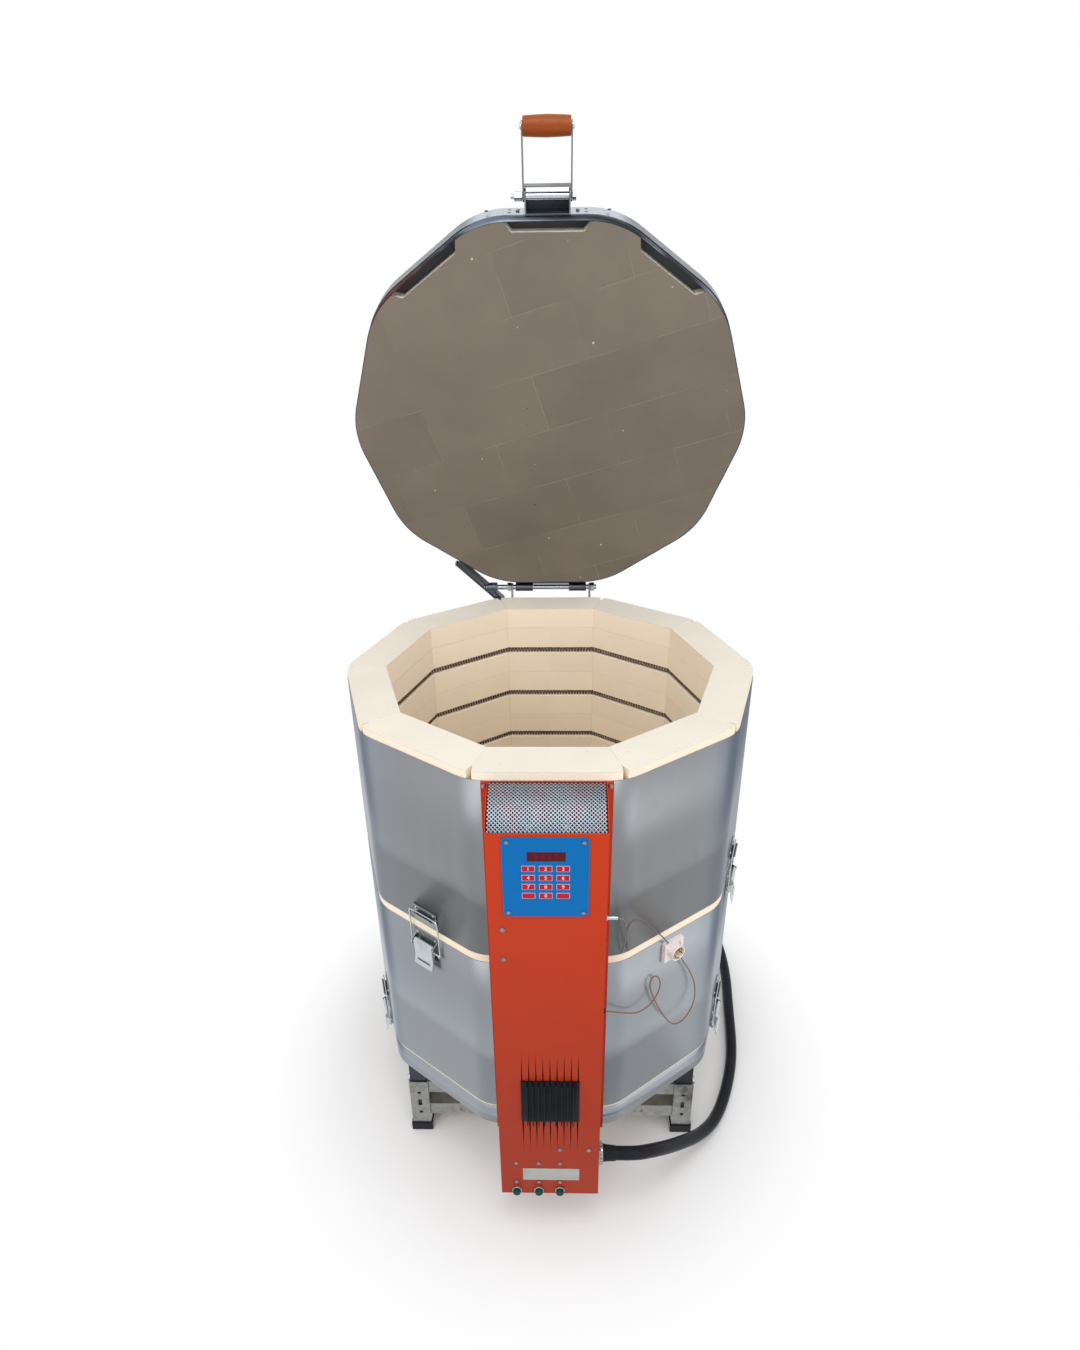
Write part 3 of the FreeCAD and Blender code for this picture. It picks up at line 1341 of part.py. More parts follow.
def hole_row(centre, along, across, count, pitch):
    """Cutters for a row of holes through a member, every second one a long slot."""
    centre = Vector(*centre)
    along = Vector(*along)
    across = Vector(*across)
    third = along.cross(across).normalize()
    half = HOLE_HEIGHT / 2
    cutters = []
    for k in range(count):
        place = centre + along * ((k - (count - 1) / 2) * pitch) - across
        tip = SLOT_LENGTH / 2 if k % 2 else half
        flat = tip - half / 2
        outline = [(tip, 0), (flat, half), (-flat, half), (-tip, 0), (-flat, -half), (flat, -half)]
        corners = [tuple(place + along * a + third * b) for a, b in outline]
        cutters.append(prism(corners, tuple(across * 2)))
    return cutters


def stand_leg(sx, sy):
    """A perforated square tube with a clamp bolt's hole."""
    half = LEG / 2
    bore = half - LEG_WALL
    x, y = sx * LEG_X, sy * LEG_Y
    tube = block(x - half, x + half, y - half, y + half, LEG_BOTTOM, LEG_TOP)
    tube = tube.cut(block(x - bore, x + bore, y - bore, y + bore, LEG_BOTTOM - 1, LEG_TOP + 1))
    middle = (x, y, (LEG_TOP + FOOT_HEIGHT) / 2)
    reach = half + 1
    cuts = hole_row(middle, (0, 0, 1), (0, reach, 0), LEG_HOLES, LEG_HOLE_PITCH)
    cuts += hole_row(middle, (0, 0, 1), (reach, 0, 0), LEG_HOLES, LEG_HOLE_PITCH)
    return tube.cut(Part.makeCompound(cuts)).cut(clamp_bolt(sx, sy))


def clamp_bolt(sx, sy):
    """The bolt that clamps a riser in its leg, with its head outside and its nut inside the riser."""
    x, y, z = sx * LEG_X, sy * LEG_Y, LEG_TOP - CLAMP_DOWN
    outer = x + sx * LEG / 2
    inner = x + sx * (RISER / 2 - LEG_WALL)
    shank = facet_rod(CLAMP_RADIUS, (outer, y, z), (inner - sx * CLAMP_NUT, y, z))
    head = nut(2 * CLAMP_RADIUS, (outer, y, z), outer + sx * CLAMP_NUT)
    return shank.fuse([head, nut(2 * CLAMP_RADIUS, (inner, y, z), inner - sx * CLAMP_NUT)])


def stand_riser(sx, sy):
    """A square tube that slides in a leg and carries the kiln's floor on a closed top."""
    half = RISER / 2
    bore = half - LEG_WALL
    x, y = sx * LEG_X, sy * LEG_Y
    tube = block(x - half, x + half, y - half, y + half, RISER_BOTTOM, FLOOR_UNDERSIDE)
    tube = tube.cut(block(x - bore, x + bore, y - bore, y + bore, RISER_BOTTOM - 1, FLOOR_UNDERSIDE - RISER_CAP))
    return tube.cut(clamp_bolt(sx, sy))


def stand_foot(sx, sy):
    """A rubber boot round the bottom of a leg."""
    half = FOOT / 2
    x, y = sx * LEG_X, sy * LEG_Y
    boot = block(x - half, x + half, y - half, y + half, 0, FOOT_HEIGHT)
    pocket = LEG / 2
    return boot.cut(block(x - pocket, x + pocket, y - pocket, y + pocket, LEG_BOTTOM, FOOT_HEIGHT + 1))


def rail(length, z0):
    """A perforated angle along X with its upright leaf outwards and its flat leaf on top."""
    half = length / 2
    side = -RAIL_WIDTH / 2
    top = z0 + RAIL_WIDTH
    angle = prism(
        [
            (-half, side, z0),
            (-half, side + RAIL_SHEET, z0),
            (-half, side + RAIL_SHEET, top - RAIL_SHEET),
            (-half, -side, top - RAIL_SHEET),
            (-half, -side, top),
            (-half, side, top),
        ],
        (length, 0, 0),
    )
    count = int((length - 30) // RAIL_PITCH)
    middle = (0, side, z0 + RAIL_WIDTH / 2)
    return angle.cut(Part.makeCompound(hole_row(middle, (1, 0, 0), (0, 2 * RAIL_SHEET, 0), count, RAIL_PITCH)))


def stand_rails():
    """Two angles along each side of the stand, between the legs."""
    rails = []
    for z0 in RAIL_HEIGHTS:
        across = rail(2 * LEG_X - LEG, z0)
        along = rail(2 * LEG_Y - LEG, z0)
        for turn in (0, 180):
            shape = across.copy()
            shape.translate(Vector(0, -LEG_Y, 0))
            rails.append(turned(shape, turn))
            shape = along.copy()
            shape.translate(Vector(0, -LEG_X, 0))
            rails.append(turned(shape, turn + 90))
    return rails


def make_stand():
    corners = [(sx, sy) for sx in (-1, 1) for sy in (-1, 1)]
    keep("stand_legs", *[stand_leg(*c) for c in corners])
    keep("stand_risers", *[stand_riser(*c) for c in corners])
    keep("stand_bolts", *[clamp_bolt(*c) for c in corners])
    keep("stand_feet", *[stand_foot(*c) for c in corners])
    keep("stand_rails", *stand_rails())


def main():
    os.makedirs("parts", exist_ok=True)
    make_lining()
    make_jackets()
    make_elements()
    make_hinge()
    make_lid()
    make_control_box()
    make_thermocouple()
    make_cords()
    make_latches()
    make_stand()
    for name, shape in PARTS.items():
        shape.exportStep("parts/" + name + ".step")


if __name__ == "__main__":
    main()
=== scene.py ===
"""Surfaces, cords and stage of a ten-sided ceramic kiln, laid out as a Blender add-on.

Everything is drawn in the part's own millimetres, +Z up and the control box on the -Y side,
and each piece becomes metres as it is finished.
"""
import math
from functools import cache, partialmethod

import bmesh
import bpy
from bpy.props import FloatProperty, FloatVectorProperty, IntProperty, PointerProperty
from mathutils import Matrix, Vector


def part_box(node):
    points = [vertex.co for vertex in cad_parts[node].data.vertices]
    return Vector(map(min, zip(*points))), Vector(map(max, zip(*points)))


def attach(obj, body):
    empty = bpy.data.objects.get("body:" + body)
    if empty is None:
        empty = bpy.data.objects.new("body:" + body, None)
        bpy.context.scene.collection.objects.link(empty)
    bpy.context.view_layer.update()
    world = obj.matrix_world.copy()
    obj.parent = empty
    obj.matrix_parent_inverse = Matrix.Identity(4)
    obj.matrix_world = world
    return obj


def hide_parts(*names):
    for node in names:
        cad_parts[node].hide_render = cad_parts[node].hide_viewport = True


bl_info = {
    "name": "Ceramic kiln",
    "version": (1, 0, 0),
    "blender": (4, 5, 0),
    "location": "3D View > Sidebar > Kiln",
    "description": "Dresses the packed kiln with its bricks, jackets, fittings and cords",
    "category": "Object",
}

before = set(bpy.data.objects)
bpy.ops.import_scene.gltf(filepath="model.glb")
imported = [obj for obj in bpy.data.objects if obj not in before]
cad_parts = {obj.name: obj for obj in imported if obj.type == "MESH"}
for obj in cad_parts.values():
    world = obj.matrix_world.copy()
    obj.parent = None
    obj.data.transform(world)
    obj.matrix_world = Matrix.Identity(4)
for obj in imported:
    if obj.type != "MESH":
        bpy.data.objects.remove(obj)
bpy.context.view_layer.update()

MM = 0.001
SIDES = 10
FLAT = 2 * math.pi / SIDES
OPEN_ANGLE = 73
ORIGIN = (0, 0, 0)
EVEN = (1, 1, 1)
UP = (0, 0, 1)
RIGHT = (1, 0, 0)
FRONT = (0, -1, 0)
BACK = (0, 1, 0)


def box_of(node):
    """A node's lowest and highest corners in millimetres."""
    low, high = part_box(node)
    return Vector(low) / MM, Vector(high) / MM


FLOOR_TOP, LOWER_TOP = (corner.z for corner in box_of("lower_jacket"))
UPPER_BOTTOM, UPPER_TOP = (corner.z for corner in box_of("upper_jacket"))
RIM_BOTTOM, RIM = (corner.z for corner in box_of("rim_bricks"))
MID_JOINT = (LOWER_TOP + UPPER_BOTTOM) / 2
FLOOR_LAYER = 41
COURSE = (MID_JOINT - FLOOR_TOP - FLOOR_LAYER) / 3
BOX_FRONT = box_of("box_cover")[0].y
PLATE_FRONT = box_of("controller_plate")[0].y
BOX_SIDE = 91
FLANGE = -373
CHAMBER = 297
BRICK = 370
JACKET = BRICK + 1
LID_TOP = RIM + 76.3
HINGE = Vector((0, 399, 1028))
FACE_TURN = 36


def length(name, description, default, least):
    """A size in millimetres."""
    return FloatProperty(name=name, description=description + ", mm", default=default, min=least)


class KilnSizes(bpy.types.PropertyGroup):
    corner_round: length("Jacket corner", "Radius of the jacket's upright corners", 78, 10)
    lid_corner: length("Lid corner", "Radius of the lid's upright corners", 165, 10)
    coil_radius: length("Coil", "Radius of an element's coil", 5.4, 1)
    coil_pitch: length("Coil pitch", "Distance of a coil's turns", 6.5, 2)
    wire: length("Wire", "Radius of an element's wire", 1.15, 0.2)
    cord: length("Cord", "Diameter of the power cord", 25, 5)
    lead: length("Lead", "Diameter of a thermocouple lead", 2.4, 0.5)
    hole_pitch: length("Vent holes", "Distance of the vent's holes", 4.4, 3)
    screw_sides: IntProperty(name="Screw sides", description="Faces of a screw's head", default=16, min=6)


def tint(name, default):
    """A colour in linear values."""
    words = "Linear colour of the " + name.lower()
    return FloatVectorProperty(name=name, description=words, subtype="COLOR", default=default, min=0, max=1)


class KilnColours(bpy.types.PropertyGroup):
    rim: tint("Rim brick", (0.79, 0.735, 0.64))
    # Painted light: a lighter copy of the rim's firebrick, for the chamber's shaded walls and the rim's
    # sides.
    brick: tint("Wall brick", (0.94, 0.82, 0.66))
    # Painted shade: the lid's firebrick darkened to this grey-brown for its shaded underside.
    lid: tint("Lid brick", (0.185, 0.155, 0.125))
    jacket: tint("Jacket steel", (0.235, 0.24, 0.25))
    paint: tint("Box paint", (0.48, 0.036, 0.006))
    plate: tint("Controller plate", (0.0, 0.14, 0.42))
    keys: tint("Keys", (0.45, 0.012, 0.03))
    element: tint("Element wire", (0.20, 0.155, 0.115))
    wood: tint("Grip wood", (0.29, 0.062, 0.008))
    rubber: tint("Cord rubber", (0.005, 0.007, 0.011))
    galvanised: tint("Galvanised steel", (0.27, 0.275, 0.265))
    porcelain: tint("Porcelain", (0.80, 0.74, 0.72))


class Wire:
    """A socket of a finish, on which sums are written as Python expressions."""

    def __init__(self, finish, socket):
        self.finish = finish
        self.socket = socket

    def first(self, operation, *others):
        return self.finish.sum(operation, self, *others)

    def last(self, operation, other):
        return self.finish.sum(operation, other, self)

    __add__ = partialmethod(first, "ADD")
    __radd__ = partialmethod(last, "ADD")
    __sub__ = partialmethod(first, "SUBTRACT")
    __rsub__ = partialmethod(last, "SUBTRACT")
    __mul__ = partialmethod(first, "MULTIPLY")
    __rmul__ = partialmethod(last, "MULTIPLY")
    __truediv__ = partialmethod(first, "DIVIDE")
    __rtruediv__ = partialmethod(last, "DIVIDE")
    __gt__ = partialmethod(first, "GREATER_THAN")
    __abs__ = partialmethod(first, "ABSOLUTE")
    __floor__ = partialmethod(first, "FLOOR")


class Finish:
    """A material built round one Principled shader, with its patterns on Object coordinates."""

    def __init__(self, name, **constants):
        self.material = bpy.data.materials.new(name)
        self.material.use_nodes = True
        self.tree = self.material.node_tree
        self.shader = self.tree.nodes["Principled BSDF"]
        for key, value in constants.items():
            self.socket(key).default_value = value
        self.place = self.add("TexCoord", output="Object")

    def socket(self, key):
        """The shader's socket of a name written with underscores."""
        return next(s for s in self.shader.inputs if s.name.lower() == key.replace("_", " "))

    def add(self, kind, settings=None, sockets=None, output=0):
        """Any node: its settings first, then the values or links of its sockets."""
        node = self.tree.nodes.new("ShaderNode" + kind)
        for key, value in (settings or {}).items():
            setattr(node, key, value)
        for key, value in (sockets or {}).items():
            self.feed(node.inputs[key], value)
        return Wire(self, node.outputs[output])

    def feed(self, socket, value):
        if isinstance(value, Wire):
            self.tree.links.new(value.socket, socket)
        elif socket.type == "RGBA" and len(value) == 3:
            socket.default_value = (*value, 1)
        else:
            socket.default_value = value

    def sum(self, operation, *values):
        return self.add("Math", {"operation": operation}, dict(enumerate(values)))

    def paint(self, **links):
        """Feed the shader's sockets: base_color, roughness, metallic, normal and so on."""
        for key, value in links.items():
            self.feed(self.socket(key), value)
        return self.material

    def noise(self, size, detail=3, stretch=EVEN, roughness=0.5):
        """Noise with features of a size in millimetres."""
        place = self.place
        if stretch != EVEN:
            place = self.add("Mapping", None, {"Vector": place, "Scale": stretch})
        values = {"Vector": place, "Scale": 1 / (size * MM), "Detail": detail, "Roughness": roughness}
        return self.add("TexNoise", None, values)

    def cells(self, size, output="Distance"):
        """Cells of a size in millimetres: the distance from their middles, or their colours."""
        return self.add("TexVoronoi", None, {"Vector": self.place, "Scale": 1 / (size * MM)}, output)

    def between(self, value, low, high):
        """0 below low, 1 above high, smooth in between."""
        values = {"Value": value, "From Min": low, "From Max": high}
        return self.add("MapRange", {"interpolation_type": "SMOOTHSTEP"}, values)

    def patches(self, size, detail, low, high, stretch=EVEN):
        """Patches of noise: 0 where it is below low, 1 above high."""
        return self.between(self.noise(size, detail, stretch), low, high)

    def dots(self, size, low, high):
        """A dot in each cell of a size: 1 inside low, 0 outside high."""
        return 1 - self.between(self.cells(size), low, high)

    def mix(self, factor, first, second):
        return self.add("Mix", {"data_type": "RGBA"}, {0: factor, 6: first, 7: second}, 2)

    def axes(self):
        """The place in millimetres as three values."""
        split = self.add("SeparateXYZ", None, {"Vector": self.place}, "X").socket.node
        return [Wire(self, split.outputs[k]) / MM for k in range(3)]

    def bump(self, height, depth, strength=1.0):
        values = {"Height": height, "Distance": depth * MM, "Strength": strength}
        return self.add("Bump", None, values, "Normal")

    def flats(self):
        """Which of the ten flats a place belongs to, and how far across it, from -0.5 to 0.5."""
        x, y, z = self.axes()
        turn = self.sum("ARCTAN2", x, 0 - y) / FLAT + 0.5
        flat = math.floor(turn)
        return flat, turn - flat - 0.5, z


def shade(colour, factor):
    return tuple(min(1.0, c * factor) for c in colour)


def colour(name):
    return tuple(getattr(bpy.context.scene.kiln_colours, name))


def size(name):
    return getattr(bpy.context.scene.kiln_sizes, name)


@cache
def finish(look):
    """The finish of a look, made the first time that it is asked for."""
    maker, *values = LOOKS[look]
    return maker(look, *(colour(value) if isinstance(value, str) else value for value in values))


def brick_finish(name, base, tints, joints):
    """Soft insulating firebrick: pores, dust and one tint for each brick."""
    f = Finish(name, roughness=0.93, specular_ior_level=0.2)
    flat, across, z = f.flats()
    level = (z - FLOOR_TOP - FLOOR_LAYER) / COURSE
    course = math.floor(level)
    seed = f.add("TexWhiteNoise", {"noise_dimensions": "1D"}, {"W": flat * 7.3 + course * 3.1}, "Value")
    cloud = f.noise(70, 4)
    tone = f.mix(seed * tints + cloud * (1 - tints) * 0.9, shade(base, 0.9), shade(base, 1.06))
    pores = f.dots(3.4, 0.05, 0.2)
    pits = f.dots(17, 0.05, 0.11) * (f.noise(40) > 0.55)
    grain = f.noise(1.6, 5, roughness=0.7)
    tone = f.mix(pores * 0.12 + pits * 0.35, tone, shade(base, 0.5))
    height = grain * 0.5 - pores * 0.6 - pits * 2
    if joints:
        side = (0.5 - abs(across)) * (FLAT * CHAMBER)
        bed = abs(level - math.floor(level + 0.5)) * COURSE
        seam = 1 - f.between(f.sum("MINIMUM", side, bed), 0.25, 0.9)
        tone = f.mix(seam * 0.16, tone, shade(base, 0.5))
        height = height - seam * 1.5
    else:
        # Painted light: below the rim's top face the lighter wall brick colour stands in for the same
        # firebrick.
        tone = f.mix(f.between(z, RIM - 3, RIM - 0.5), colour("brick"), tone)
    return f.paint(base_color=tone, normal=f.bump(height, 0.35, 0.7))


def lid_brick_finish(name, base):
    """The lid's underside, its firebrick darkened to grey-brown as painted shade, with bricks laid askew,
    hairline joints, pits and specks.
    """
    f = Finish(name, roughness=0.95, specular_ior_level=0.15)
    angle = math.radians(OPEN_ANGLE)
    shift = (HINGE - Matrix.Rotation(angle, 4, "X") @ HINGE) * MM
    flat = f.add("Mapping", None, {"Vector": f.place, "Rotation": (angle, 0, 0), "Location": shift})
    laid = f.add("Mapping", None, {"Vector": flat, "Rotation": (0, 0, math.radians(17))})
    bricks = {
        "Vector": laid,
        "Scale": 1.0,
        "Mortar Size": 0.0011,
        "Mortar Smooth": 0.6,
        "Brick Width": 0.228,
        "Row Height": 0.114,
        "Color1": (0, 0, 0),
        "Color2": (1, 1, 1),
        "Mortar": (0.5, 0.5, 0.5),
    }
    one = f.add("TexBrick", None, bricks, "Color")
    joint = f.add("TexBrick", None, bricks, "Fac") * f.patches(90, 3, 0.42, 0.6)
    cloud = f.noise(120, 5)
    tone = f.mix(one * 0.25 + cloud * 0.8, shade(base, 0.78), shade(base, 1.25))
    pores = f.dots(2.6, 0.05, 0.25)
    specks = f.dots(46, 0.03, 0.06) * (f.noise(30) > 0.5)
    pits = f.dots(31, 0.03, 0.08) * (f.noise(55) > 0.58)
    tone = f.mix(pores * 0.25, tone, shade(base, 0.6))
    tone = f.mix(joint * 0.3, tone, shade(base, 2.2))
    tone = f.mix(specks * 0.8, tone, shade(base, 3.6))
    tone = f.mix(pits * 0.7, tone, shade(base, 0.35))
    rise = f.add("SeparateXYZ", None, {"Vector": flat}, "Z") / MM - RIM
    edge = f.between(rise, 1.5, 5)
    tone = f.mix(edge, tone, colour("rim"))
    # Painted shade: a near-black band high in the notches, where shade falls.
    notch_shade = f.between(rise, 26, 29) * (1 - f.between(rise, 31, 34))
    tone = f.mix(notch_shade * 0.9, tone, (0.03, 0.036, 0.05))
    height = f.noise(1.5, 5) * 0.5 - pores - pits * 3 - joint
    return f.paint(base_color=tone, normal=f.bump(height, 0.35, 0.6))


def jacket_finish(name, base):
    """Brushed-bright sheet with painted reflections and painted shade: paler below the middle joint and
    brighter towards the top, bluish at the sides, near black on the right and darker at the flats' corners,
    with faint rub marks.
    """
    f = Finish(name, metallic=1.0)
    across, z = f.flats()[1:]
    x = f.axes()[0]
    upper = f.between(z, MID_JOINT - 3, MID_JOINT + 3)
    # Painted reflection: the lower section pale and bluish low down and nearer the steel's own grey at its
    # top, the upper section brighter towards its top.
    lower_reflection_fade = f.between(z, LOWER_TOP - 260, LOWER_TOP)
    lower = f.mix(lower_reflection_fade * 0.55, (0.335, 0.365, 0.395), shade(base, 1.08))
    upper_reflection = f.mix(f.between(z, UPPER_BOTTOM, UPPER_TOP), shade(base, 0.98), shade(base, 1.15))
    tone = f.mix(upper, lower, upper_reflection)
    streaks = f.noise(30, 3, (1, 1, 0.05))
    tone = f.mix(streaks * 0.22, tone, shade(base, 1.5))
    # Painted reflection: bluish towards both sides, near black on the right, and a lighter patch low on the
    # right.
    side = f.between(abs(x), 215, 330)
    tone = f.mix(side * 0.4, tone, (0.30, 0.36, 0.45))
    tone = f.mix(f.between(x, 262, 335) * 0.9, tone, (0.10, 0.125, 0.165))
    tone = f.mix(f.between(x, 140, 260) * (1 - upper) * 0.3, tone, (0.45, 0.49, 0.52))
    # Painted shade: darker towards each flat's corners, most at the sides.
    corner = f.between(abs(across), 0.38, 0.49)
    tone = f.mix(corner * (0.15 + side * 0.45), tone, (0.10, 0.13, 0.18))
    rub = f.noise(9, 4, (1, 1, 0.4)) * 0.08 + f.patches(60, 5, 0.58, 0.75) * 0.06
    return f.paint(base_color=tone, roughness=rub + 0.34, normal=f.bump(f.noise(150, 1), 1.2, 0.15))


def lid_band_finish(name):
    """The lid's polished band, with the dark and warm tones that it reflects painted into its colour as
    painted reflections.
    """
    f = Finish(name, metallic=1.0)
    x, _, z = f.axes()
    reflection_wave = f.noise(60, 2, (0.3, 0.3, 1.4))
    # Painted reflection: dark and light-blue stretches in the band's colour.
    tone = f.mix(f.between(reflection_wave, 0.45, 0.68), (0.035, 0.04, 0.05), (0.19, 0.225, 0.28))
    # Painted reflection: a dark red stretch on the left of the open lid's upper part.
    warm_reflection = 1 - f.between(x, -300, -175)
    tone = f.mix(warm_reflection * f.between(z, 1450, 1600) * 0.8, tone, (0.15, 0.018, 0.012))
    return f.paint(base_color=tone, roughness=f.noise(14, 3) * 0.12 + 0.26)


def steel_finish(name, base, rough, scale, marks=0.5, stretch=EVEN):
    """Bare or plated steel with uneven polish, fine lines and a little tarnish."""
    f = Finish(name, metallic=1.0)
    lines = f.noise(scale, 4, stretch)
    tarnish = f.patches(scale * 4, 4, 0.5, 0.72) * marks
    tone = f.mix(lines, shade(base, 0.8), shade(base, 1.2))
    tone = f.mix(tarnish, tone, shade(base, 0.45))
    rough = lines * 0.16 + tarnish * 0.2 + (rough - 0.08)
    return f.paint(base_color=tone, roughness=rough, normal=f.bump(lines, 0.05, 0.4))


def strap_finish(name):
    """The lid's strap, with painted reflections: pale blue across the front and near black where it turns
    to the sides.
    """
    f = Finish(name, metallic=1.0)
    x = f.axes()[0]
    lines = f.noise(8, 4, (0.3, 1, 1))
    side = f.between(abs(x), 116, 150)
    # Painted reflection: pale blue across the front, near black towards the sides.
    tone = f.mix(lines, (0.40, 0.47, 0.52), (0.58, 0.67, 0.73))
    tone = f.mix(side * (0.75 + lines * 0.3), tone, (0.05, 0.06, 0.075))
    return f.paint(base_color=tone, roughness=lines * 0.14 + 0.22, normal=f.bump(lines, 0.05, 0.4))


def galvanised_finish(name, base):
    """Zinc with its spangle, dull grey patches and a few rust-brown spots."""
    f = Finish(name, metallic=0.85)
    spangle = f.add("SeparateXYZ", None, {"Vector": f.cells(9, output="Color")}, "X")
    dull = f.patches(45, 4, 0.4, 0.7)
    tone = f.mix(spangle * 0.7 + dull * 0.3, shade(base, 0.72), shade(base, 1.3))
    tone = f.mix(f.patches(18, 5, 0.66, 0.8) * 0.4, tone, (0.16, 0.10, 0.06))
    return f.paint(base_color=tone, roughness=spangle * 0.12 + dull * 0.15 + 0.32)


def paint_finish(name, base):
    """Baked enamel: orange peel, painted shade that darkens it towards the bottom, and a few scuffs."""
    f = Finish(name, specular_ior_level=0.16)
    # Painted shade: lighter at the top of the box, darker towards its bottom.
    painted_height_shade = f.between(f.axes()[2], 117, 990)
    cloud = f.noise(130, 4)
    tone = f.mix(painted_height_shade * 0.85 + cloud * 0.2, shade(base, 0.62), shade(base, 1.1))
    scuff = f.patches(22, 6, 0.67, 0.8, (1, 1, 0.3))
    tone = f.mix(scuff * 0.12, tone, shade(base, 1.5))
    peel = f.noise(2.2, 2)
    rough = scuff * 0.2 + cloud * 0.1 + 0.34
    return f.paint(base_color=tone, roughness=rough, normal=f.bump(peel, 0.05, 0.35))


def plastic_finish(name, base, rough, metallic=0.0, grain=0.8):
    """Moulded or sprayed plastic with a fine grain and dust in it."""
    f = Finish(name, metallic=metallic, specular_ior_level=0.1)
    dust = f.patches(25, 5, 0.45, 0.75)
    tone = f.mix(dust * 0.2, base, tuple(min(1.0, c * 1.25 + 0.004) for c in base))
    return f.paint(base_color=tone, roughness=dust * 0.15 + rough, normal=f.bump(f.noise(grain), 0.04, 0.5))


def wood_finish(name, base):
    """Stained turned wood, with its grain along the grip."""
    f = Finish(name, specular_ior_level=0.2)
    rings = f.noise(3.2, 4, (0.08, 1, 1))
    pores = f.patches(1.1, 3, 0.58, 0.7, (0.06, 1, 1))
    tone = f.mix(rings, shade(base, 0.7), shade(base, 1.15))
    tone = f.mix(pores * 0.5, tone, shade(base, 0.35))
    return f.paint(base_color=tone, roughness=rings * 0.15 + 0.32, normal=f.bump(pores, 0.08, 0.4))


def element_finish(name, base):
    """Oxidised resistance wire, brown with lighter scale."""
    f = Finish(name, metallic=0.35)
    scale = f.noise(8, 5)
    tone = f.mix(f.between(scale, 0.4, 0.7), shade(base, 0.8), shade(base, 1.5))
    return f.paint(base_color=tone, roughness=scale * 0.2 + 0.5)


def rubber_finish(name, base):
    """Black rubber with a grey bloom and scuffs."""
    f = Finish(name, specular_ior_level=0.14)
    bloom = f.noise(30, 5)
    tone = f.mix(f.between(bloom, 0.45, 0.75) * 0.4, base, (0.018, 0.022, 0.03))
    return f.paint(base_color=tone, roughness=bloom * 0.2 + 0.32, normal=f.bump(f.noise(2, 3), 0.06, 0.4))


def lead_finish(name, base, fleck):
    """Braided glass sleeve: two tones of thread in short flecks."""
    f = Finish(name, roughness=0.8)
    threads = f.cells(0.9)
    tone = f.mix(f.between(threads, 0.25, 0.6) * 0.7 + f.noise(20) * 0.2, base, fleck)
    return f.paint(base_color=tone, normal=f.bump(threads, 0.12, 0.6))


def porcelain_finish(name, base):
    """Glazed porcelain with a few stains."""
    f = Finish(name, coat_weight=0.3, coat_roughness=0.12)
    stain = f.patches(12, 5, 0.5, 0.75)
    tone = f.mix(stain * 0.45, base, shade(base, 0.62))
    return f.paint(base_color=tone, roughness=stain * 0.25 + 0.28, normal=f.bump(f.noise(3, 3), 0.06, 0.4))


LOOKS = {
    "rim_brick": (brick_finish, "rim", 0.2, False),
    "wall_brick": (brick_finish, "brick", 0.45, True),
    "lid_underside": (lid_brick_finish, "lid"),
    "jacket_sheet": (jacket_finish, "jacket"),
    "lid_band_sheet": (lid_band_finish,),
    "strap_steel": (strap_finish,),
    "screw_steel": (steel_finish, (0.27, 0.28, 0.29), 0.32, 4),
    "dark_steel": (steel_finish, (0.13, 0.14, 0.155), 0.38, 14),
    "hinge_steel": (steel_finish, (0.20, 0.22, 0.24), 0.34, 14),
    "bright_steel": (steel_finish, (0.55, 0.59, 0.62), 0.2, 6, 0.25),
    "latch_plate": (steel_finish, (0.33, 0.36, 0.35), 0.34, 9, 0.5, (1, 1, 0.3)),
    "grille_sheet": (steel_finish, (0.26, 0.31, 0.36), 0.34, 20, 0.3),
    "sink_black": (plastic_finish, (0.006, 0.008, 0.012), 0.4, 0.15),
    "box_enamel": (paint_finish, "paint"),
    "controller_face": (plastic_finish, "plate", 0.42),
    "display_glass": (plastic_finish, (0.092, 0.007, 0.013), 0.3, 0, 3),
    "display_digits": (plastic_finish, (0.15, 0.010, 0.018), 0.35),
    "key_pad": (plastic_finish, "keys", 0.4),
    "key_numbers": (plastic_finish, (0.75, 0.70, 0.68), 0.5),
    "key_border": (plastic_finish, (0.50, 0.46, 0.58), 0.5),
    "bare_plate": (steel_finish, (0.46, 0.47, 0.44), 0.42, 16, 0.3, (0.1, 1, 1)),
    "circuit_board": (plastic_finish, (0.02, 0.16, 0.06), 0.35),
    "black_plastic": (plastic_finish, (0.012, 0.013, 0.014), 0.4),
    "fuse_cap": (plastic_finish, (0.003, 0.045, 0.04), 0.3),
    "brass": (steel_finish, (0.52, 0.38, 0.14), 0.3, 4, 0.7),
    "grip_wood": (wood_finish, "wood"),
    "element_wire": (element_finish, "element"),
    "porcelain": (porcelain_finish, "porcelain"),
    "lead_brown": (lead_finish, (0.36, 0.17, 0.075), (0.16, 0.08, 0.04)),
    "lead_white": (lead_finish, (0.30, 0.29, 0.27), (0.12, 0.12, 0.13)),
    "lead_dark": (lead_finish, (0.085, 0.07, 0.075), (0.20, 0.13, 0.11)),
    "lead_red": (lead_finish, (0.55, 0.03, 0.03), (0.25, 0.02, 0.02)),
    "cord_rubber": (rubber_finish, "rubber"),
    "foot_rubber": (rubber_finish, "rubber"),
    "galvanised": (galvanised_finish, "galvanised"),
    "riser_steel": (steel_finish, (0.055, 0.06, 0.07), 0.42, 20),
    "bolt_zinc": (steel_finish, (0.42, 0.43, 0.42), 0.3, 5, 0.6),
}


def round_off(bm, corners, offset, segments):
    """Round a flat outline's corners."""
    bmesh.ops.bevel(
        bm, geom=corners, offset=offset, segments=segments, profile=0.5, affect="VERTICES", material=-1
    )


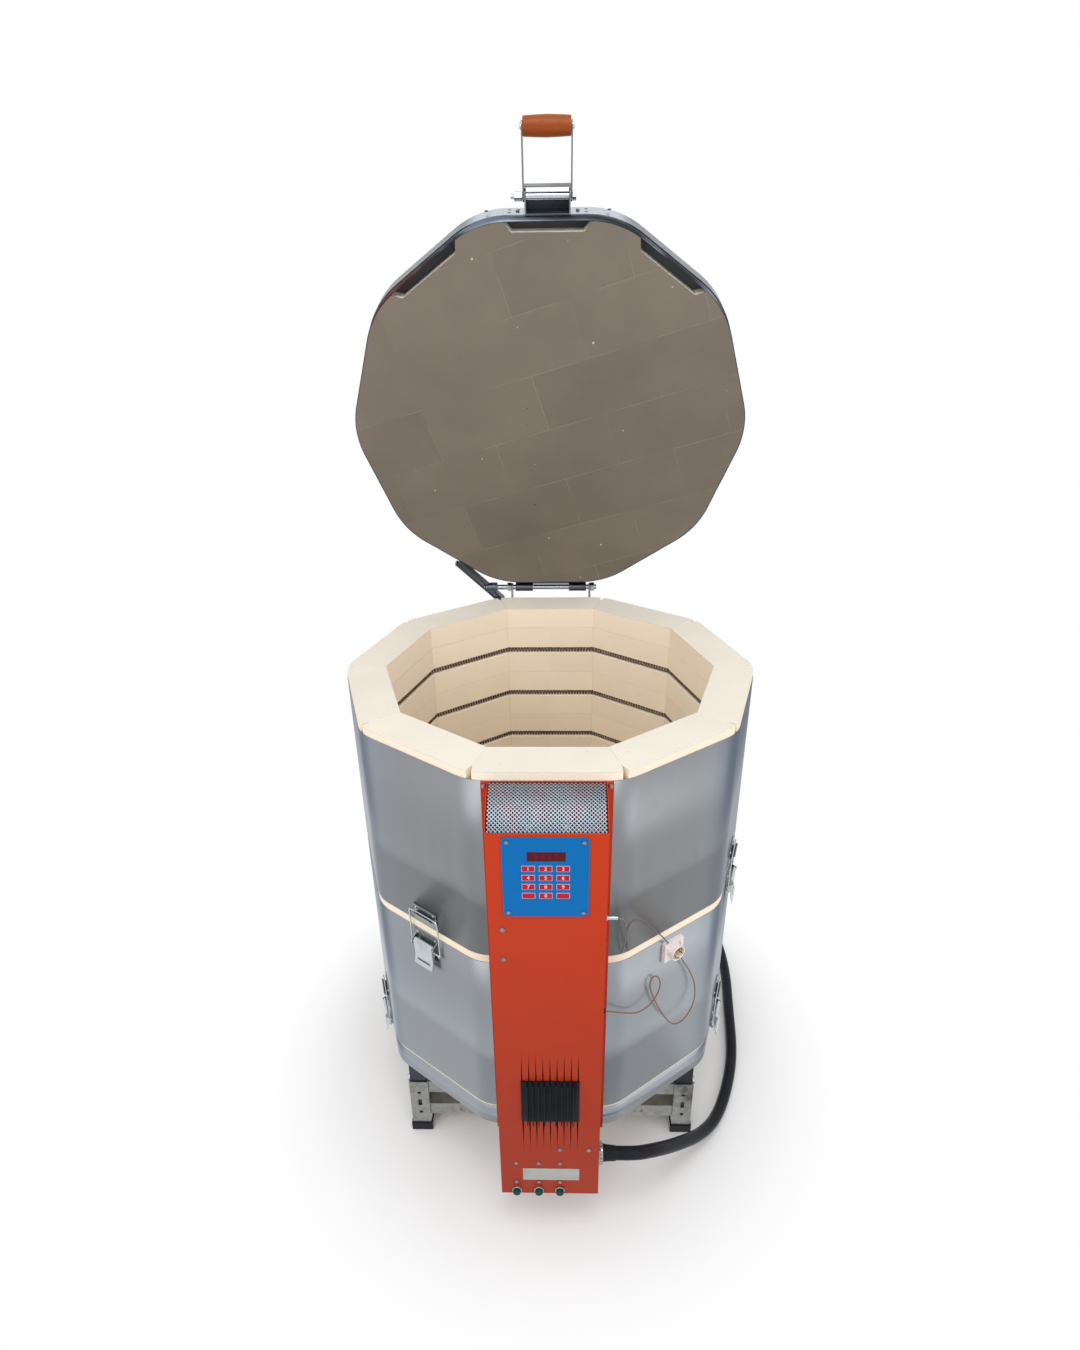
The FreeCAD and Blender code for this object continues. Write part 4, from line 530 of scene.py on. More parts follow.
class Draft:
    """A mesh drawn in millimetres with bmesh operators, and made a piece of the kiln at the end."""

    def __init__(self):
        self.bm = bmesh.new()

    def pull(self, faces, way):
        """Extrude faces along a way."""
        grown = bmesh.ops.extrude_face_region(self.bm, geom=faces)["geom"]
        moved = [g for g in grown if isinstance(g, bmesh.types.BMVert)]
        bmesh.ops.translate(self.bm, verts=moved, vec=way)

    def prism(self, points, way):
        """A flat face from a few corners, extruded along a way."""
        self.pull([self.bm.faces.new([self.bm.verts.new(p) for p in points])], way)
        return self

    def block(self, x0, x1, y0, y1, z0, z1):
        spread = Matrix.Diagonal((x1 - x0, y1 - y0, z1 - z0, 1))
        middle = Matrix.Translation(((x0 + x1) / 2, (y0 + y1) / 2, (z0 + z1) / 2))
        bmesh.ops.create_cube(self.bm, size=1, matrix=middle @ spread)
        return self

    def decagon(self, apothem, corner, z0, z1, segments=8):
        """A ten-sided prism with rounded upright edges."""
        upright = Matrix.Translation((0, 0, z0)) @ Matrix.Rotation(FLAT / 2, 4, "Z")
        reach = apothem / math.cos(FLAT / 2)
        ring = bmesh.ops.create_circle(self.bm, cap_ends=True, segments=SIDES, radius=reach, matrix=upright)
        round_off(self.bm, ring["verts"], corner * math.tan(FLAT / 2), segments)
        away = (apothem - corner) / math.cos(FLAT / 2)
        for v in self.bm.verts:
            side = math.floor(math.atan2(v.co.x, -v.co.y) / FLAT) * FLAT + FLAT / 2
            middle = Vector((math.sin(side), -math.cos(side), 0)) * away
            middle.z = z0
            v.co = middle + (v.co - middle).normalized() * corner
        flat = [f for f in self.bm.faces if abs(f.normal.z) > 0.9]
        self.pull(flat, (0, 0, z1 - z0))
        return self

    def opened_ends(self):
        """Take off the flat top and bottom, which leaves a sleeve."""
        self.bm.normal_update()
        flat = [f for f in self.bm.faces if abs(f.normal.z) > 0.99]
        bmesh.ops.delete(self.bm, geom=flat, context="FACES_ONLY")
        return self

    def lathe(self, profile, foot, way, steps=16):
        """Spin (radius, along) pairs about an axis from a foot."""
        known = set(self.bm.verts)
        verts = [self.bm.verts.new((radius, 0, along)) for radius, along in profile]
        edges = [self.bm.edges.new(pair) for pair in zip(verts, verts[1:])]
        whole = {"cent": ORIGIN, "axis": UP, "angle": 2 * math.pi, "steps": steps, "use_merge": True}
        bmesh.ops.spin(self.bm, geom=verts + edges, **whole)
        aim = Vector(way).to_track_quat("Z", "Y").to_matrix().to_4x4()
        grown = [v for v in self.bm.verts if v not in known]
        bmesh.ops.transform(self.bm, matrix=Matrix.Translation(foot) @ aim, verts=grown)
        return self

    def everything(self):
        return self.bm.verts[:] + self.bm.edges[:] + self.bm.faces[:]

    def around(self):
        """Copies of everything so far on the kiln's nine other sides."""
        turns = {"cent": ORIGIN, "axis": UP, "angle": FLAT * (SIDES - 1), "steps": SIDES - 1}
        bmesh.ops.spin(self.bm, geom=self.everything(), use_duplicate=True, **turns)
        return self

    def turn(self, degrees):
        spun = Matrix.Rotation(math.radians(degrees), 4, "Z")
        bmesh.ops.transform(self.bm, matrix=spun, verts=self.bm.verts[:])
        return self

    def open_lid(self):
        """Turn what was drawn on the closed lid to the open lid's place."""
        turn = Matrix.Rotation(math.radians(-OPEN_ANGLE), 4, "X")
        place = Matrix.Translation(HINGE) @ turn @ Matrix.Translation(-HINGE)
        bmesh.ops.transform(self.bm, matrix=place, verts=self.bm.verts[:])
        return self

    def piece(self, name, look, slot, body="kiln", nodes=(), soften=0, sheet=0, smooth=35):
        """Finish the draft: doubles merged, normals outwards, metres, and its ride."""
        bm = self.bm
        bmesh.ops.remove_doubles(bm, verts=bm.verts, dist=0.002)
        bmesh.ops.recalc_face_normals(bm, faces=bm.faces)
        bmesh.ops.scale(bm, vec=(MM, MM, MM), verts=bm.verts)
        mesh = bpy.data.meshes.new(name)
        bm.to_mesh(mesh)
        bm.free()
        obj = bpy.data.objects.new(name, mesh)
        return dress(obj, look, body, nodes, soften, sheet, smooth)


def dress(obj, look, body, nodes, soften=0, sheet=0, smooth=35):
    """Link a piece, give it its finish and modifiers, and let it ride its body."""
    bpy.context.scene.collection.objects.link(obj)
    obj.data.materials.append(finish(look))
    if obj.type == "MESH":
        obj.data.shade_smooth()
        obj.data.set_sharp_from_angle(angle=math.radians(smooth))
    if sheet:
        thick = obj.modifiers.new("Sheet", "SOLIDIFY")
        thick.thickness = sheet * MM
        thick.offset = -1
        thick.use_even_offset = True
    if soften:
        bevel = obj.modifiers.new("Soft edges", "BEVEL")
        bevel.width = soften * MM
        bevel.segments = 2
        bevel.limit_method = "ANGLE"
        bevel.angle_limit = math.radians(40)
        bevel.harden_normals = True
    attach(obj, body)
    if nodes:
        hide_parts(*nodes)
    return obj


def softened(node, look, body="kiln", soften=0.5, smooth=35):
    """A merged copy of a CAD node with its edges rounded, in the node's own place."""
    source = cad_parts[node]
    bm = bmesh.new()
    bm.from_mesh(source.data)
    bmesh.ops.transform(bm, matrix=source.matrix_world, verts=bm.verts)
    bmesh.ops.remove_doubles(bm, verts=bm.verts, dist=2e-6)
    bmesh.ops.dissolve_limit(bm, angle_limit=math.radians(0.6), verts=bm.verts, edges=bm.edges)
    mesh = bpy.data.meshes.new(node + "_dressed")
    bm.to_mesh(mesh)
    bm.free()
    obj = bpy.data.objects.new(node + "_dressed", mesh)
    return dress(obj, look, body, [node], soften, 0, smooth)


def line(name, points, diameter, look, body="kiln", nodes=(), degrees=0):
    """A round wire or cord on one open curve, whose control points carry its radius."""
    curve = bpy.data.curves.new(name, "CURVE")
    curve.dimensions = "3D"
    curve.bevel_depth = 1
    curve.bevel_resolution = 3
    curve.resolution_u = 8
    curve.use_fill_caps = True
    turn = Matrix.Rotation(math.radians(degrees), 3, "Z")
    spline = curve.splines.new("NURBS")
    spline.points.add(len(points) - 1)
    for point, place in zip(spline.points, points):
        point.co = (*(turn @ Vector(place) * MM), 1)
        point.radius = diameter / 2 * MM
    spline.order_u = 3
    spline.use_endpoint_u = True
    obj = bpy.data.objects.new(name, curve)
    return dress(obj, look, body, nodes)


def letters(name, text, height, place, look, depth=0.15):
    """Plain numbers on an upright face that looks to -Y, made a mesh before they are placed."""
    curve = bpy.data.curves.new(name, "FONT")
    curve.body = text
    curve.align_x = "CENTER"
    curve.align_y = "CENTER"
    curve.size = height * MM
    curve.extrude = depth * MM
    curve.resolution_u = 3
    shape = bpy.data.objects.new(name + "_text", curve)
    bpy.context.scene.collection.objects.link(shape)
    bpy.context.view_layer.update()
    mesh = bpy.data.meshes.new_from_object(shape)
    bpy.data.objects.remove(shape)
    upright = Matrix.Rotation(math.radians(90), 4, "X")
    mesh.transform(Matrix.Translation(Vector(place) * MM) @ upright)
    return dress(bpy.data.objects.new(name, mesh), look, "kiln", [])


def screw(draft, foot, way, radius, height=2.4):
    """A pan head with a washer's rim on a face."""
    steps = size("screw_sides")
    dome = [(0, height), (radius * 0.55, height * 0.96), (radius * 0.9, height * 0.62)]
    draft.lathe(dome + [(radius, 0.1), (radius, 0)], foot, way, steps)


def screws(draft, across, y, heights, radius, height=2.4, way=FRONT):
    """Screws on an upright face, at each of some places across and each of some heights."""
    for x in across:
        for z in heights:
            screw(draft, (x, y, z), way, radius, height)


# Stage

PICTURE_HEIGHT = 1350
FOCAL_LENGTH = 817
SENSOR = 36
CAMERA = ((17, -1406, 1681), 26.04, -1.42, 0.70)
STAGE_RADIUS = 12
STAGE_DROP = 0.0003


def camera_matrix(place, pitch, yaw, roll):
    """A camera's matrix from its place in millimetres and its angles in degrees."""
    pitch, yaw, roll = (math.radians(a) for a in (pitch, yaw, roll))
    ahead = Vector((math.sin(yaw) * math.cos(pitch), math.cos(yaw) * math.cos(pitch), -math.sin(pitch)))
    level = Vector((math.cos(yaw), -math.sin(yaw), 0))
    upright = level.cross(ahead)
    right = level * math.cos(roll) - upright * math.sin(roll)
    top = right.cross(ahead)
    turn = Matrix((right, top, -ahead)).transposed().to_4x4()
    return Matrix.Translation(Vector(place) * MM) @ turn


def lamp(name, place, aim, width, height, watts):
    light = bpy.data.lights.new(name, "AREA")
    light.shape = "RECTANGLE"
    light.size = width
    light.size_y = height
    light.energy = watts
    obj = bpy.data.objects.new(name, light)
    obj.location = place
    obj.rotation_euler = (Vector(aim) - Vector(place)).to_track_quat("-Z", "Y").to_euler()
    bpy.context.scene.collection.objects.link(obj)


def background():
    """White for the camera and for reflections, and a soft even light for everything else."""
    world = bpy.data.worlds.new("Studio")
    bpy.context.scene.world = world
    world.use_nodes = True
    tree = world.node_tree
    sky = tree.nodes["Background"]
    sky.inputs["Color"].default_value = (1, 1, 1, 1)
    path = tree.nodes.new("ShaderNodeLightPath")
    seen = path.outputs["Is Camera Ray"]
    for ray in ("Is Glossy Ray", "Is Transmission Ray"):
        either = tree.nodes.new("ShaderNodeMath")
        either.operation = "MAXIMUM"
        tree.links.new(seen, either.inputs[0])
        tree.links.new(path.outputs[ray], either.inputs[1])
        seen = either.outputs[0]
    level = tree.nodes.new("ShaderNodeMapRange")
    level.inputs["To Min"].default_value = 0.85
    level.inputs["To Max"].default_value = 1.0
    tree.links.new(seen, level.inputs["Value"])
    tree.links.new(level.outputs[0], sky.inputs["Strength"])


def floor_material():
    """Pale floor that keeps the shadow near the kiln and turns to the white of the background."""
    f = Finish("stage_floor", roughness=0.9, specular_ior_level=0.1)
    grain = f.noise(4, 3)
    f.paint(base_color=f.mix(grain, (0.86, 0.86, 0.87), (0.90, 0.90, 0.90)))
    x, y, _ = f.axes()
    far = f.between(f.sum("SQRT", x * x + y * y), 420, 700)
    camera = f.add("LightPath", output="Is Camera Ray")
    glossy = f.add("LightPath", output="Is Glossy Ray")
    white = f.add("Emission", None, {"Color": (1, 1, 1), "Strength": 1.0})
    both = f.add("MixShader", None, {0: far * camera + glossy, 1: Wire(f, f.shader.outputs[0]), 2: white})
    f.feed(f.tree.nodes["Material Output"].inputs["Surface"], both)
    return f.material


class KILN_OT_stage(bpy.types.Operator):
    """Set up the camera, the lamps, the white background and the floor"""

    bl_idname = "kiln.stage"
    bl_label = "Stage"

    def execute(self, context):
        scene = context.scene
        scene.view_settings.view_transform = "Standard"
        data = bpy.data.cameras.new("View")
        data.sensor_fit = "VERTICAL"
        data.sensor_height = SENSOR
        data.sensor_width = SENSOR
        data.lens = FOCAL_LENGTH / PICTURE_HEIGHT * SENSOR
        data.clip_end = 100
        camera = bpy.data.objects.new("View", data)
        camera.matrix_world = camera_matrix(*CAMERA)
        scene.collection.objects.link(camera)
        scene.camera = camera
        background()
        lamp("Key", (-1.6, -2.4, 3.0), (0, 0, 0.7), 1.8, 1.8, 18)
        lamp("Fill", (2.4, -1.8, 1.8), (0, 0, 0.7), 1.6, 2.0, 10)
        lamp("Top", (0.1, -1.2, 3.3), (0, 0.25, 0.7), 1.2, 1.2, 22)
        bm = bmesh.new()
        bmesh.ops.create_circle(bm, cap_ends=True, segments=64, radius=STAGE_RADIUS)
        bmesh.ops.translate(bm, verts=bm.verts, vec=(0, 0, -STAGE_DROP))
        mesh = bpy.data.meshes.new("stage_floor")
        bm.to_mesh(mesh)
        bm.free()
        mesh.materials.append(floor_material())
        floor = bpy.data.objects.new("stage_floor", mesh)
        scene.collection.objects.link(floor)
        return {"FINISHED"}


# Cords and leads

GLAND = Vector((BOX_SIDE, -409, 185))
TUBE_FITTING = (BOX_SIDE, -395, 752)
GROMMET = (BOX_SIDE, -395, 543)
CORD_ROUTE = [
    (107, -409, 185), (157, -407, 179), (200, -384, 156), (243, -345, 112),
    (316, -276, 46), (365, -213, 17.8), (403, -131, 12.8), (431, -40, 12.8),
    (446, 90, 12.8), (463, 226, 12.8), (455, 368, 12.8), (387, 484, 12.8),
    (272, 545, 12.8), (143, 552, 12.8), (22, 531, 12.8), (-92, 496, 12.8),
    (-196, 452, 12.8),
]


def beside(along, out, z):
    """A point beside the right front flat: along it, out from the jacket, and its height."""
    reach = JACKET + out
    sine, cosine = math.sin(math.radians(FACE_TURN)), math.cos(math.radians(FACE_TURN))
    return reach * sine + along * cosine, along * sine - reach * cosine, z


HANGING_LOOP = [
    (17, 5, 578), (24, 8, 558), (41, 11, 528), (58, 13, 486),
    (62, 14, 440), (45, 13, 405), (15, 12, 400), (-9, 11, 432),
    (-30, 10, 475), (-47, 9, 516), (-55, 8, 545), (-50, 8, 562),
    (-38, 11, 560), (-33, 15, 540), (-44, 17, 518), (-64, 17, 505),
    (-88, 15, 503), (-114, 12, 518),
]
FITTING_ROUTE = [
    (112, -395, 752), (122, -390, 747), (127, -386, 726), (128, -381, 696),
    (126, -376, 668), (123, -368, 650),
]
BLOCK_ROUTE = [
    (-104, 1.5, 651), (-112, 7, 671), (-119, 11, 697), (-117, 12, 719),
    (-104, 12, 727), (-86, 11, 713), (-60, 10, 681), (-36, 9, 653),
    (-18, 7, 626), (-12, 5, 618),
]


class KILN_OT_power_cord(bpy.types.Operator):
    """Lay the power cord round the right side to its plug, with its gland and strain relief"""

    bl_idname = "kiln.power_cord"
    bl_label = "Power cord"

    def execute(self, context):
        thick = size("cord")
        cord = line("power_lead", CORD_ROUTE, thick, "cord_rubber", nodes=["power_cord"])
        cord.data.bevel_resolution = 6
        last = Vector(CORD_ROUTE[-1])
        way = (last - Vector(CORD_ROUTE[-2])).normalized()
        lift = Vector((0, 0, 11.5))
        plug = Draft()
        neck = [(0, 0), (13, 0), (14, 4), (14.5, 8), (18, 20)]
        body = neck + [(23, 33), (24, 37), (24, 54), (22.5, 56), (0, 56)]
        plug.lathe(body, last + lift * 0.98, way, 32)
        ribs = plug.piece("plug_body", "black_plastic", "black_plastic", nodes=["power_plug"], soften=0.6)
        pins = Draft()
        side = Vector((-way.y, way.x, 0))
        face = last + lift + way * 56
        for across in (-9, 9):
            low = face + side * (across - 1)
            rise = Vector((0, 0, 12))
            pins.prism([low, low + side * 2, low + side * 2 + rise, low + rise], way * 18)
        pins.lathe([(0, 0), (3, 0), (3, 16), (2, 18), (0, 18)], face - Vector((0, 0, 8)), way, 16)
        blades = pins.piece("plug_pins", "brass", "terminal_brass", soften=0.3)
        gland = Draft()
        for radius, start, end, sides in ((20, 0, 5, 6), (18, 5, 9, 32)):
            profile = [(0, start), (radius, start), (radius, end), (0, end)]
            gland.lathe(profile, GLAND, RIGHT, sides)
        teeth = 18
        for k in range(teeth):
            angle = 2 * math.pi * k / teeth
            tooth = GLAND + Vector((3, 19 * math.cos(angle), 19 * math.sin(angle)))
            gland.lathe([(0, 0), (1.8, 0), (1.2, 5), (0, 5.5)], tooth, RIGHT, 6)
        gland.lathe([(0, 0), (19, 0), (19, 4), (0, 4)], GLAND - Vector((6.5, 0, 0)), RIGHT, 8)
        gland.piece("gland_ring", "bolt_zinc", "cord_rubber", nodes=["cord_gland"], soften=0.4)
        relief = Draft()
        profile = [(0, 0), (15.4, 0), (15.4, 3), (14.4, 8), (13.4, 24), (12.9, 26), (0, 26)]
        relief.lathe(profile, GLAND + Vector((8, 0, 0)), (50, 2, -6), 32)
        relief.piece("cord_relief", "black_plastic", "cord_rubber", soften=0.3)
        return {"FINISHED"}


class KILN_OT_leads(bpy.types.Operator):
    """Run the thermocouple's leads between the box, the middle joint and the ceramic block"""

    bl_idname = "kiln.leads"
    bl_label = "Thermocouple leads"

    def execute(self, context):
        hanging = [beside(*p) for p in HANGING_LOOP] + [(97, -395, 543)]
        over = [beside(*p) for p in BLOCK_ROUTE]
        leads = (
            ("hanging_lead", hanging, 0.568, "lead_brown", "thermocouple_lead"),
            ("tube_lead", FITTING_ROUTE, 0.112, "lead_white", "fitting_lead"),
            ("joint_lead", over, 0.227, "lead_dark", "block_lead"),
        )
        for name, route, length, look, node in leads:
            lead = line(name, route, size("lead"), look, nodes=[node])
            size("lead") * MM
        tube = Draft()
        flare = [(0, 0), (8, 0), (8.6, 1.2), (6, 3), (3.6, 5), (3.2, 8), (3.2, 21), (2.2, 21.5), (0, 21.5)]
        tube.lathe(flare, TUBE_FITTING, RIGHT, 20)
        tube.piece("tube_fitting", "bright_steel", "fitting_steel", nodes=["lead_fittings"], soften=0.3)
        grommet = Draft()
        ring = [(0, 0), (6.4, 0), (6.8, 1), (6.4, 2.6), (4.4, 4), (4.2, 6), (0, 6.2)]
        grommet.lathe(ring, GROMMET, RIGHT, 20)
        grommet.piece("lead_grommet", "black_plastic", "fitting_steel", soften=0.3)
        return {"FINISHED"}


# Body of the kiln

FLOOR_BOTTOM = 214
WALL_OUTSIDE = 366
GROOVE_DEPTH = 14.2
GROOVE_HALF = 6.6
SECTIONS = {"lower": FLOOR_TOP + FLOOR_LAYER, "upper": MID_JOINT}
COIL_STEPS = 9
TAIL_SPREAD = 30


class KILN_OT_lining(bpy.types.Operator):
    """Build the brick walls with their grooves, the rim bricks and the floor"""

    bl_idname = "kiln.lining"
    bl_label = "Brick lining"

    def execute(self, context):
        wall = Draft()
        reach = 1 / math.cos(FLAT / 2)
        outer = WALL_OUTSIDE * reach
        inner = CHAMBER * reach
        deep = (CHAMBER + GROOVE_DEPTH) * reach
        profile = [(outer, FLOOR_TOP), (inner, FLOOR_TOP)]
        for first in SECTIONS.values():
            for k in range(3):
                z = first + COURSE * (k + 0.5)
                profile += [(inner, z - GROOVE_HALF), (deep - 3, z - GROOVE_HALF), (deep, z - 3.5)]
                profile += [(deep, z + 3.5), (deep - 3, z + GROOVE_HALF), (inner, z + GROOVE_HALF)]
        profile += [(inner, RIM_BOTTOM), (outer, RIM_BOTTOM)]
        wall.lathe(profile + [profile[0]], ORIGIN, UP, SIDES)
        wall.turn(math.degrees(FLAT / 2) + 90)
        nodes = ["lower_bricks", "upper_bricks"]
        wall.piece("lining_wall", "wall_brick", "firebrick", nodes=nodes, soften=1.2, smooth=20)
        skin = Draft().decagon(BRICK, size("corner_round"), FLOOR_TOP, RIM_BOTTOM).opened_ends()
        skin.piece("lining_skin", "rim_brick", "firebrick", sheet=3)
        rim = Draft()
        half = CHAMBER * math.tan(FLAT / 2)
        apex = BRICK * reach - 20
        corner = Vector((apex * math.sin(FLAT / 2), -apex * math.cos(FLAT / 2)))
        right = [(half, -CHAMBER), (corner.x, corner.y), (114.7, -367.4), (105, -369.3), (94.9, -BRICK)]
        right = [(x - 0.05, y) for x, y in right]
        left = [(-x, y) for x, y in reversed(right)]
        rim.prism([(x, y, RIM_BOTTOM) for x, y in right + left], (0, 0, RIM - RIM_BOTTOM))
        rim.around()
        rim.piece("rim_ring", "rim_brick", "firebrick", nodes=["rim_bricks"], soften=0.6)
        floor = Draft().decagon(BRICK, size("corner_round"), FLOOR_BOTTOM, FLOOR_TOP)
        floor.piece("floor_brick", "wall_brick", "firebrick", nodes=["floor_slab"], soften=1)
        return {"FINISHED"}


class KILN_OT_elements(bpy.types.Operator):
    """Wind the six heating elements into their grooves and lead their tails out"""

    bl_idname = "kiln.elements"
    bl_label = "Heating elements"

    def execute(self, context):
        radius, wire = size("coil_radius"), size("wire")
        apothem = CHAMBER + 8
        run = 2 * apothem * math.tan(FLAT / 2)
        turns = round(run / size("coil_pitch"))
        upright = Matrix.Rotation(math.pi / 2, 4, "X")
        for name, first in SECTIONS.items():
            coil = Draft()
            for k in range(3):
                z = first + COURSE * (k + 0.5)
                place = Matrix.Translation((-run / 2, -apothem, z + radius)) @ upright
                ring = bmesh.ops.create_circle(coil.bm, segments=4, radius=wire, matrix=place)["verts"]
                bmesh.ops.spin(
                    coil.bm,
                    geom=ring + list({e for v in ring for e in v.link_edges}),
                    cent=(-run / 2, -apothem, z),
                    axis=RIGHT,
                    dvec=(run / turns / COIL_STEPS, 0, 0),
                    angle=2 * math.pi * turns,
                    steps=COIL_STEPS * turns,
                )
            coil.around()
            tail = [(0, 0), (2.5, 0), (2.5, 88), (2, 89), (0, 89)]
            for k in range(3):
                for x in (-TAIL_SPREAD, TAIL_SPREAD):
                    coil.lathe(tail, (x, -apothem, first + COURSE * (k + 0.5)), FRONT, 8)
            nodes = [name + "_elements"]
            coil.piece(name + "_coils", "element_wire", "element_wire", nodes=nodes, smooth=80)
        softened("element_insulators", "porcelain", soften=0.4)
        return {"FINISHED"}


class KILN_OT_jackets(bpy.types.Operator):
    """Wrap the polished sheets round the two sections and the floor"""

    bl_idname = "kiln.jackets"
    bl_label = "Jackets"

    def execute(self, context):
        for node in ("floor_jacket", "lower_jacket", "upper_jacket"):
            low, high = box_of(node)
            wrap = Draft().decagon(JACKET, size("corner_round") + 1, low.z, high.z, 10).opened_ends()
            wrap.piece(node + "_sheet", "jacket_sheet", "jacket_steel", nodes=[node], sheet=1)
        clips = Draft()
        dome = [(2.6, 0), (2.4, 0.8), (1.2, 1.4), (0, 1.5)]
        for azimuth in (FACE_TURN, -FACE_TURN):
            turn = Matrix.Rotation(math.radians(180 + azimuth), 3, "Z")
            for low, high in ((FLOOR_TOP + 8, LOWER_TOP - 8), (UPPER_BOTTOM + 8, UPPER_TOP - 8)):
                for k in range(5):
                    foot = turn @ Vector((0, -JACKET, low + (high - low) * k / 4))
                    clips.lathe(dome, foot, (foot.x, foot.y, 0), 10)
        clips.piece("jacket_rivets", "bright_steel", "bright_steel")
        return {"FINISHED"}


# Lid

LID = 375
GRIP_Y, GRIP_Z = -502, 1055.3


class KILN_OT_lid(bpy.types.Operator):
    """Finish the lid's slab, its polished band and the perforated strap"""

    bl_idname = "kiln.lid"
    bl_label = "Lid"

    def execute(self, context):
        softened("lid_brick", "lid_underside", "lid", 1.5, 20)
        band = Draft().decagon(LID, size("lid_corner") + 1, RIM + 0.3, LID_TOP, 10).opened_ends().open_lid()
        band.piece("lid_band_sheet", "lid_band_sheet", "jacket_steel", "lid", ["lid_band"], sheet=1)
        softened("lid_strap", "strap_steel", "lid", 0.4, 20)
        bolts = Draft()
        screws(bolts, (-106, -52, 52, 106), -LID - 2, [LID_TOP - 22], 3.6, 2)
        bolts.open_lid().piece("strap_screws", "dark_steel", "bright_steel", "lid")
        return {"FINISHED"}


class KILN_OT_hinge(bpy.types.Operator):
    """Finish the hinge, its rod and the lid's brace"""

    bl_idname = "kiln.hinge"
    bl_label = "Hinge"

    def execute(self, context):
        softened("hinge_bracket", "hinge_steel")
        softened("hinge_rod", "bright_steel", soften=0.6)
        softened("lid_hinge_leaf", "dark_steel", "lid")
        softened("lid_brace", "dark_steel", "lid")
        web = [(379, 1052), (379, 1044), (394, 1036), (399, 1039)]
        fold = Draft().prism([(-42, y, z) for y, z in web], (84, 0, 0)).open_lid()
        fold.piece("hinge_web", "dark_steel", "dark_steel", "lid", soften=0.5)
        heads = Draft()
        low, high = box_of("hinge_screws")
        screws(heads, (low.x + 4.5, 0, high.x - 4.5), LID, (low.z + 4.2, high.z - 4.2), 4.5, 2.5, BACK)
        heads.piece("hinge_heads", "bright_steel", "bright_steel", nodes=["hinge_screws"])
        return {"FINISHED"}


class KILN_OT_handle(bpy.types.Operator):
    """Turn the wooden grip and finish the handle's straps, bracket and bolt"""

    bl_idname = "kiln.handle"
    bl_label = "Lid handle"

    def execute(self, context):
        softened("handle_bracket", "hinge_steel", "lid")
        softened("handle_bolt", "bright_steel", "lid", 0.5)
        softened("handle_bail", "hinge_steel", "lid_handle", 0.4)
        # A plate that closes the handle's channel. Its near-black steel stands in for the shade inside the
        # channel, as painted shade.
        step = [(-377, 1070.3), (-388, 1070.3), (-388, 1064.3), (-399, 1064.3)]
        step += [(-399, 1066.3), (-386, 1066.3), (-386, 1072.3), (-377, 1072.3)]
        roof = Draft().prism([(-38.5, y, z) for y, z in step], (77, 0, 0)).open_lid()
        roof.piece("handle_roof", "riser_steel", "dark_steel", "lid", soften=0.3)
        grip = Draft()
        half = 39.2
        profile = [(0, -half), (13.4, -half), (14.5, -half + 1.4), (15.4, -half / 2), (16, 0)]
        profile += [(15.4, half / 2), (14.5, half - 1.4), (13.4, half), (0, half)]
        grip.lathe(profile, (0, GRIP_Y, GRIP_Z), RIGHT, 32)
        grip.open_lid().piece("grip_wood", "grip_wood", "grip_wood", "lid_handle", ["handle_grip"])
        ends = Draft()
        dome = [(0, 0), (5.5, 0), (5.2, 1.6), (3, 3), (0, 3.2)]
        for way in (-1, 1):
            ends.lathe(dome, (way * 42, GRIP_Y, GRIP_Z), (way, 0, 0), 16)
        ends.open_lid().piece("grip_ends", "bright_steel", "bright_steel", "lid_handle")
        return {"FINISHED"}


# Control box

FUSES = (-62, -20.5, 19)
FUSE_Z = 129
KEY_WIDTH, KEY_HEIGHT = 20, 11


class KILN_OT_box(bpy.types.Operator):
    """Paint the control box and roll its perforated vent"""

    bl_idname = "kiln.box"
    bl_label = "Control box"

    def execute(self, context):
        softened("box_cover", "box_enamel", soften=0.7)
        softened("box_backplate", "box_enamel", soften=0.4)
        self.vent()
        for node, look, slot in (
            ("controller_board", "circuit_board", "board"),
            ("relays", "black_plastic", "black_plastic"),
            ("terminal_block", "black_plastic", "black_plastic"),
        ):
            softened(node, look)
        return {"FINISHED"}

    def vent(self):
        """A sheet of square cells laid askew, holed and rolled to the vent's curve."""
        pitch = size("hole_pitch")
        half = 88.0
        start = Vector((-373.6, 997))
        end = Vector((-445.4, 956.4))
        chord = (end - start).length
        rise = 8.6
        radius = (chord * chord / 4 + rise * rise) / (2 * rise)
        sweep = 2 * math.asin(chord / 2 / radius)
        middle = (start + end) / 2
        normal = Vector((start.y - end.y, end.x - start.x)).normalized()
        if normal.y < 0:
            normal = -normal
        centre = middle - normal * (radius - rise)
        draft = Draft()
        bm = draft.bm
        diagonal = Matrix.Rotation(math.pi / 4, 4, "Z")
        count = int(2 * half / pitch) + 12
        reach = count * pitch / 2
        bmesh.ops.create_grid(bm, x_segments=count, y_segments=count, size=reach, matrix=diagonal)
        holes = bmesh.ops.inset_individual(bm, faces=bm.faces[:], thickness=pitch * 0.24)
        bars = set(holes["faces"])
        bmesh.ops.delete(bm, geom=[f for f in bm.faces if f not in bars], context="FACES")
        for reach, axis in ((half, RIGHT), (radius * sweep / 2, BACK)):
            for way in (Vector(axis), -Vector(axis)):
                bmesh.ops.bisect_plane(
                    bm, geom=draft.everything(), plane_co=way * reach, plane_no=way, clear_outer=True
                )
        tilt = math.atan2(normal.y, -normal.x)
        for v in bm.verts:
            angle = tilt + v.co.y / radius
            v.co = (v.co.x, centre.x - radius * math.cos(angle), centre.y + radius * math.sin(angle))
        vent = draft.piece("vent_sheet", "grille_sheet", "grille_steel", nodes=["vent_grille"], smooth=60)
        thick = vent.modifiers.new("Sheet", "SOLIDIFY")
        thick.thickness = 1 * MM


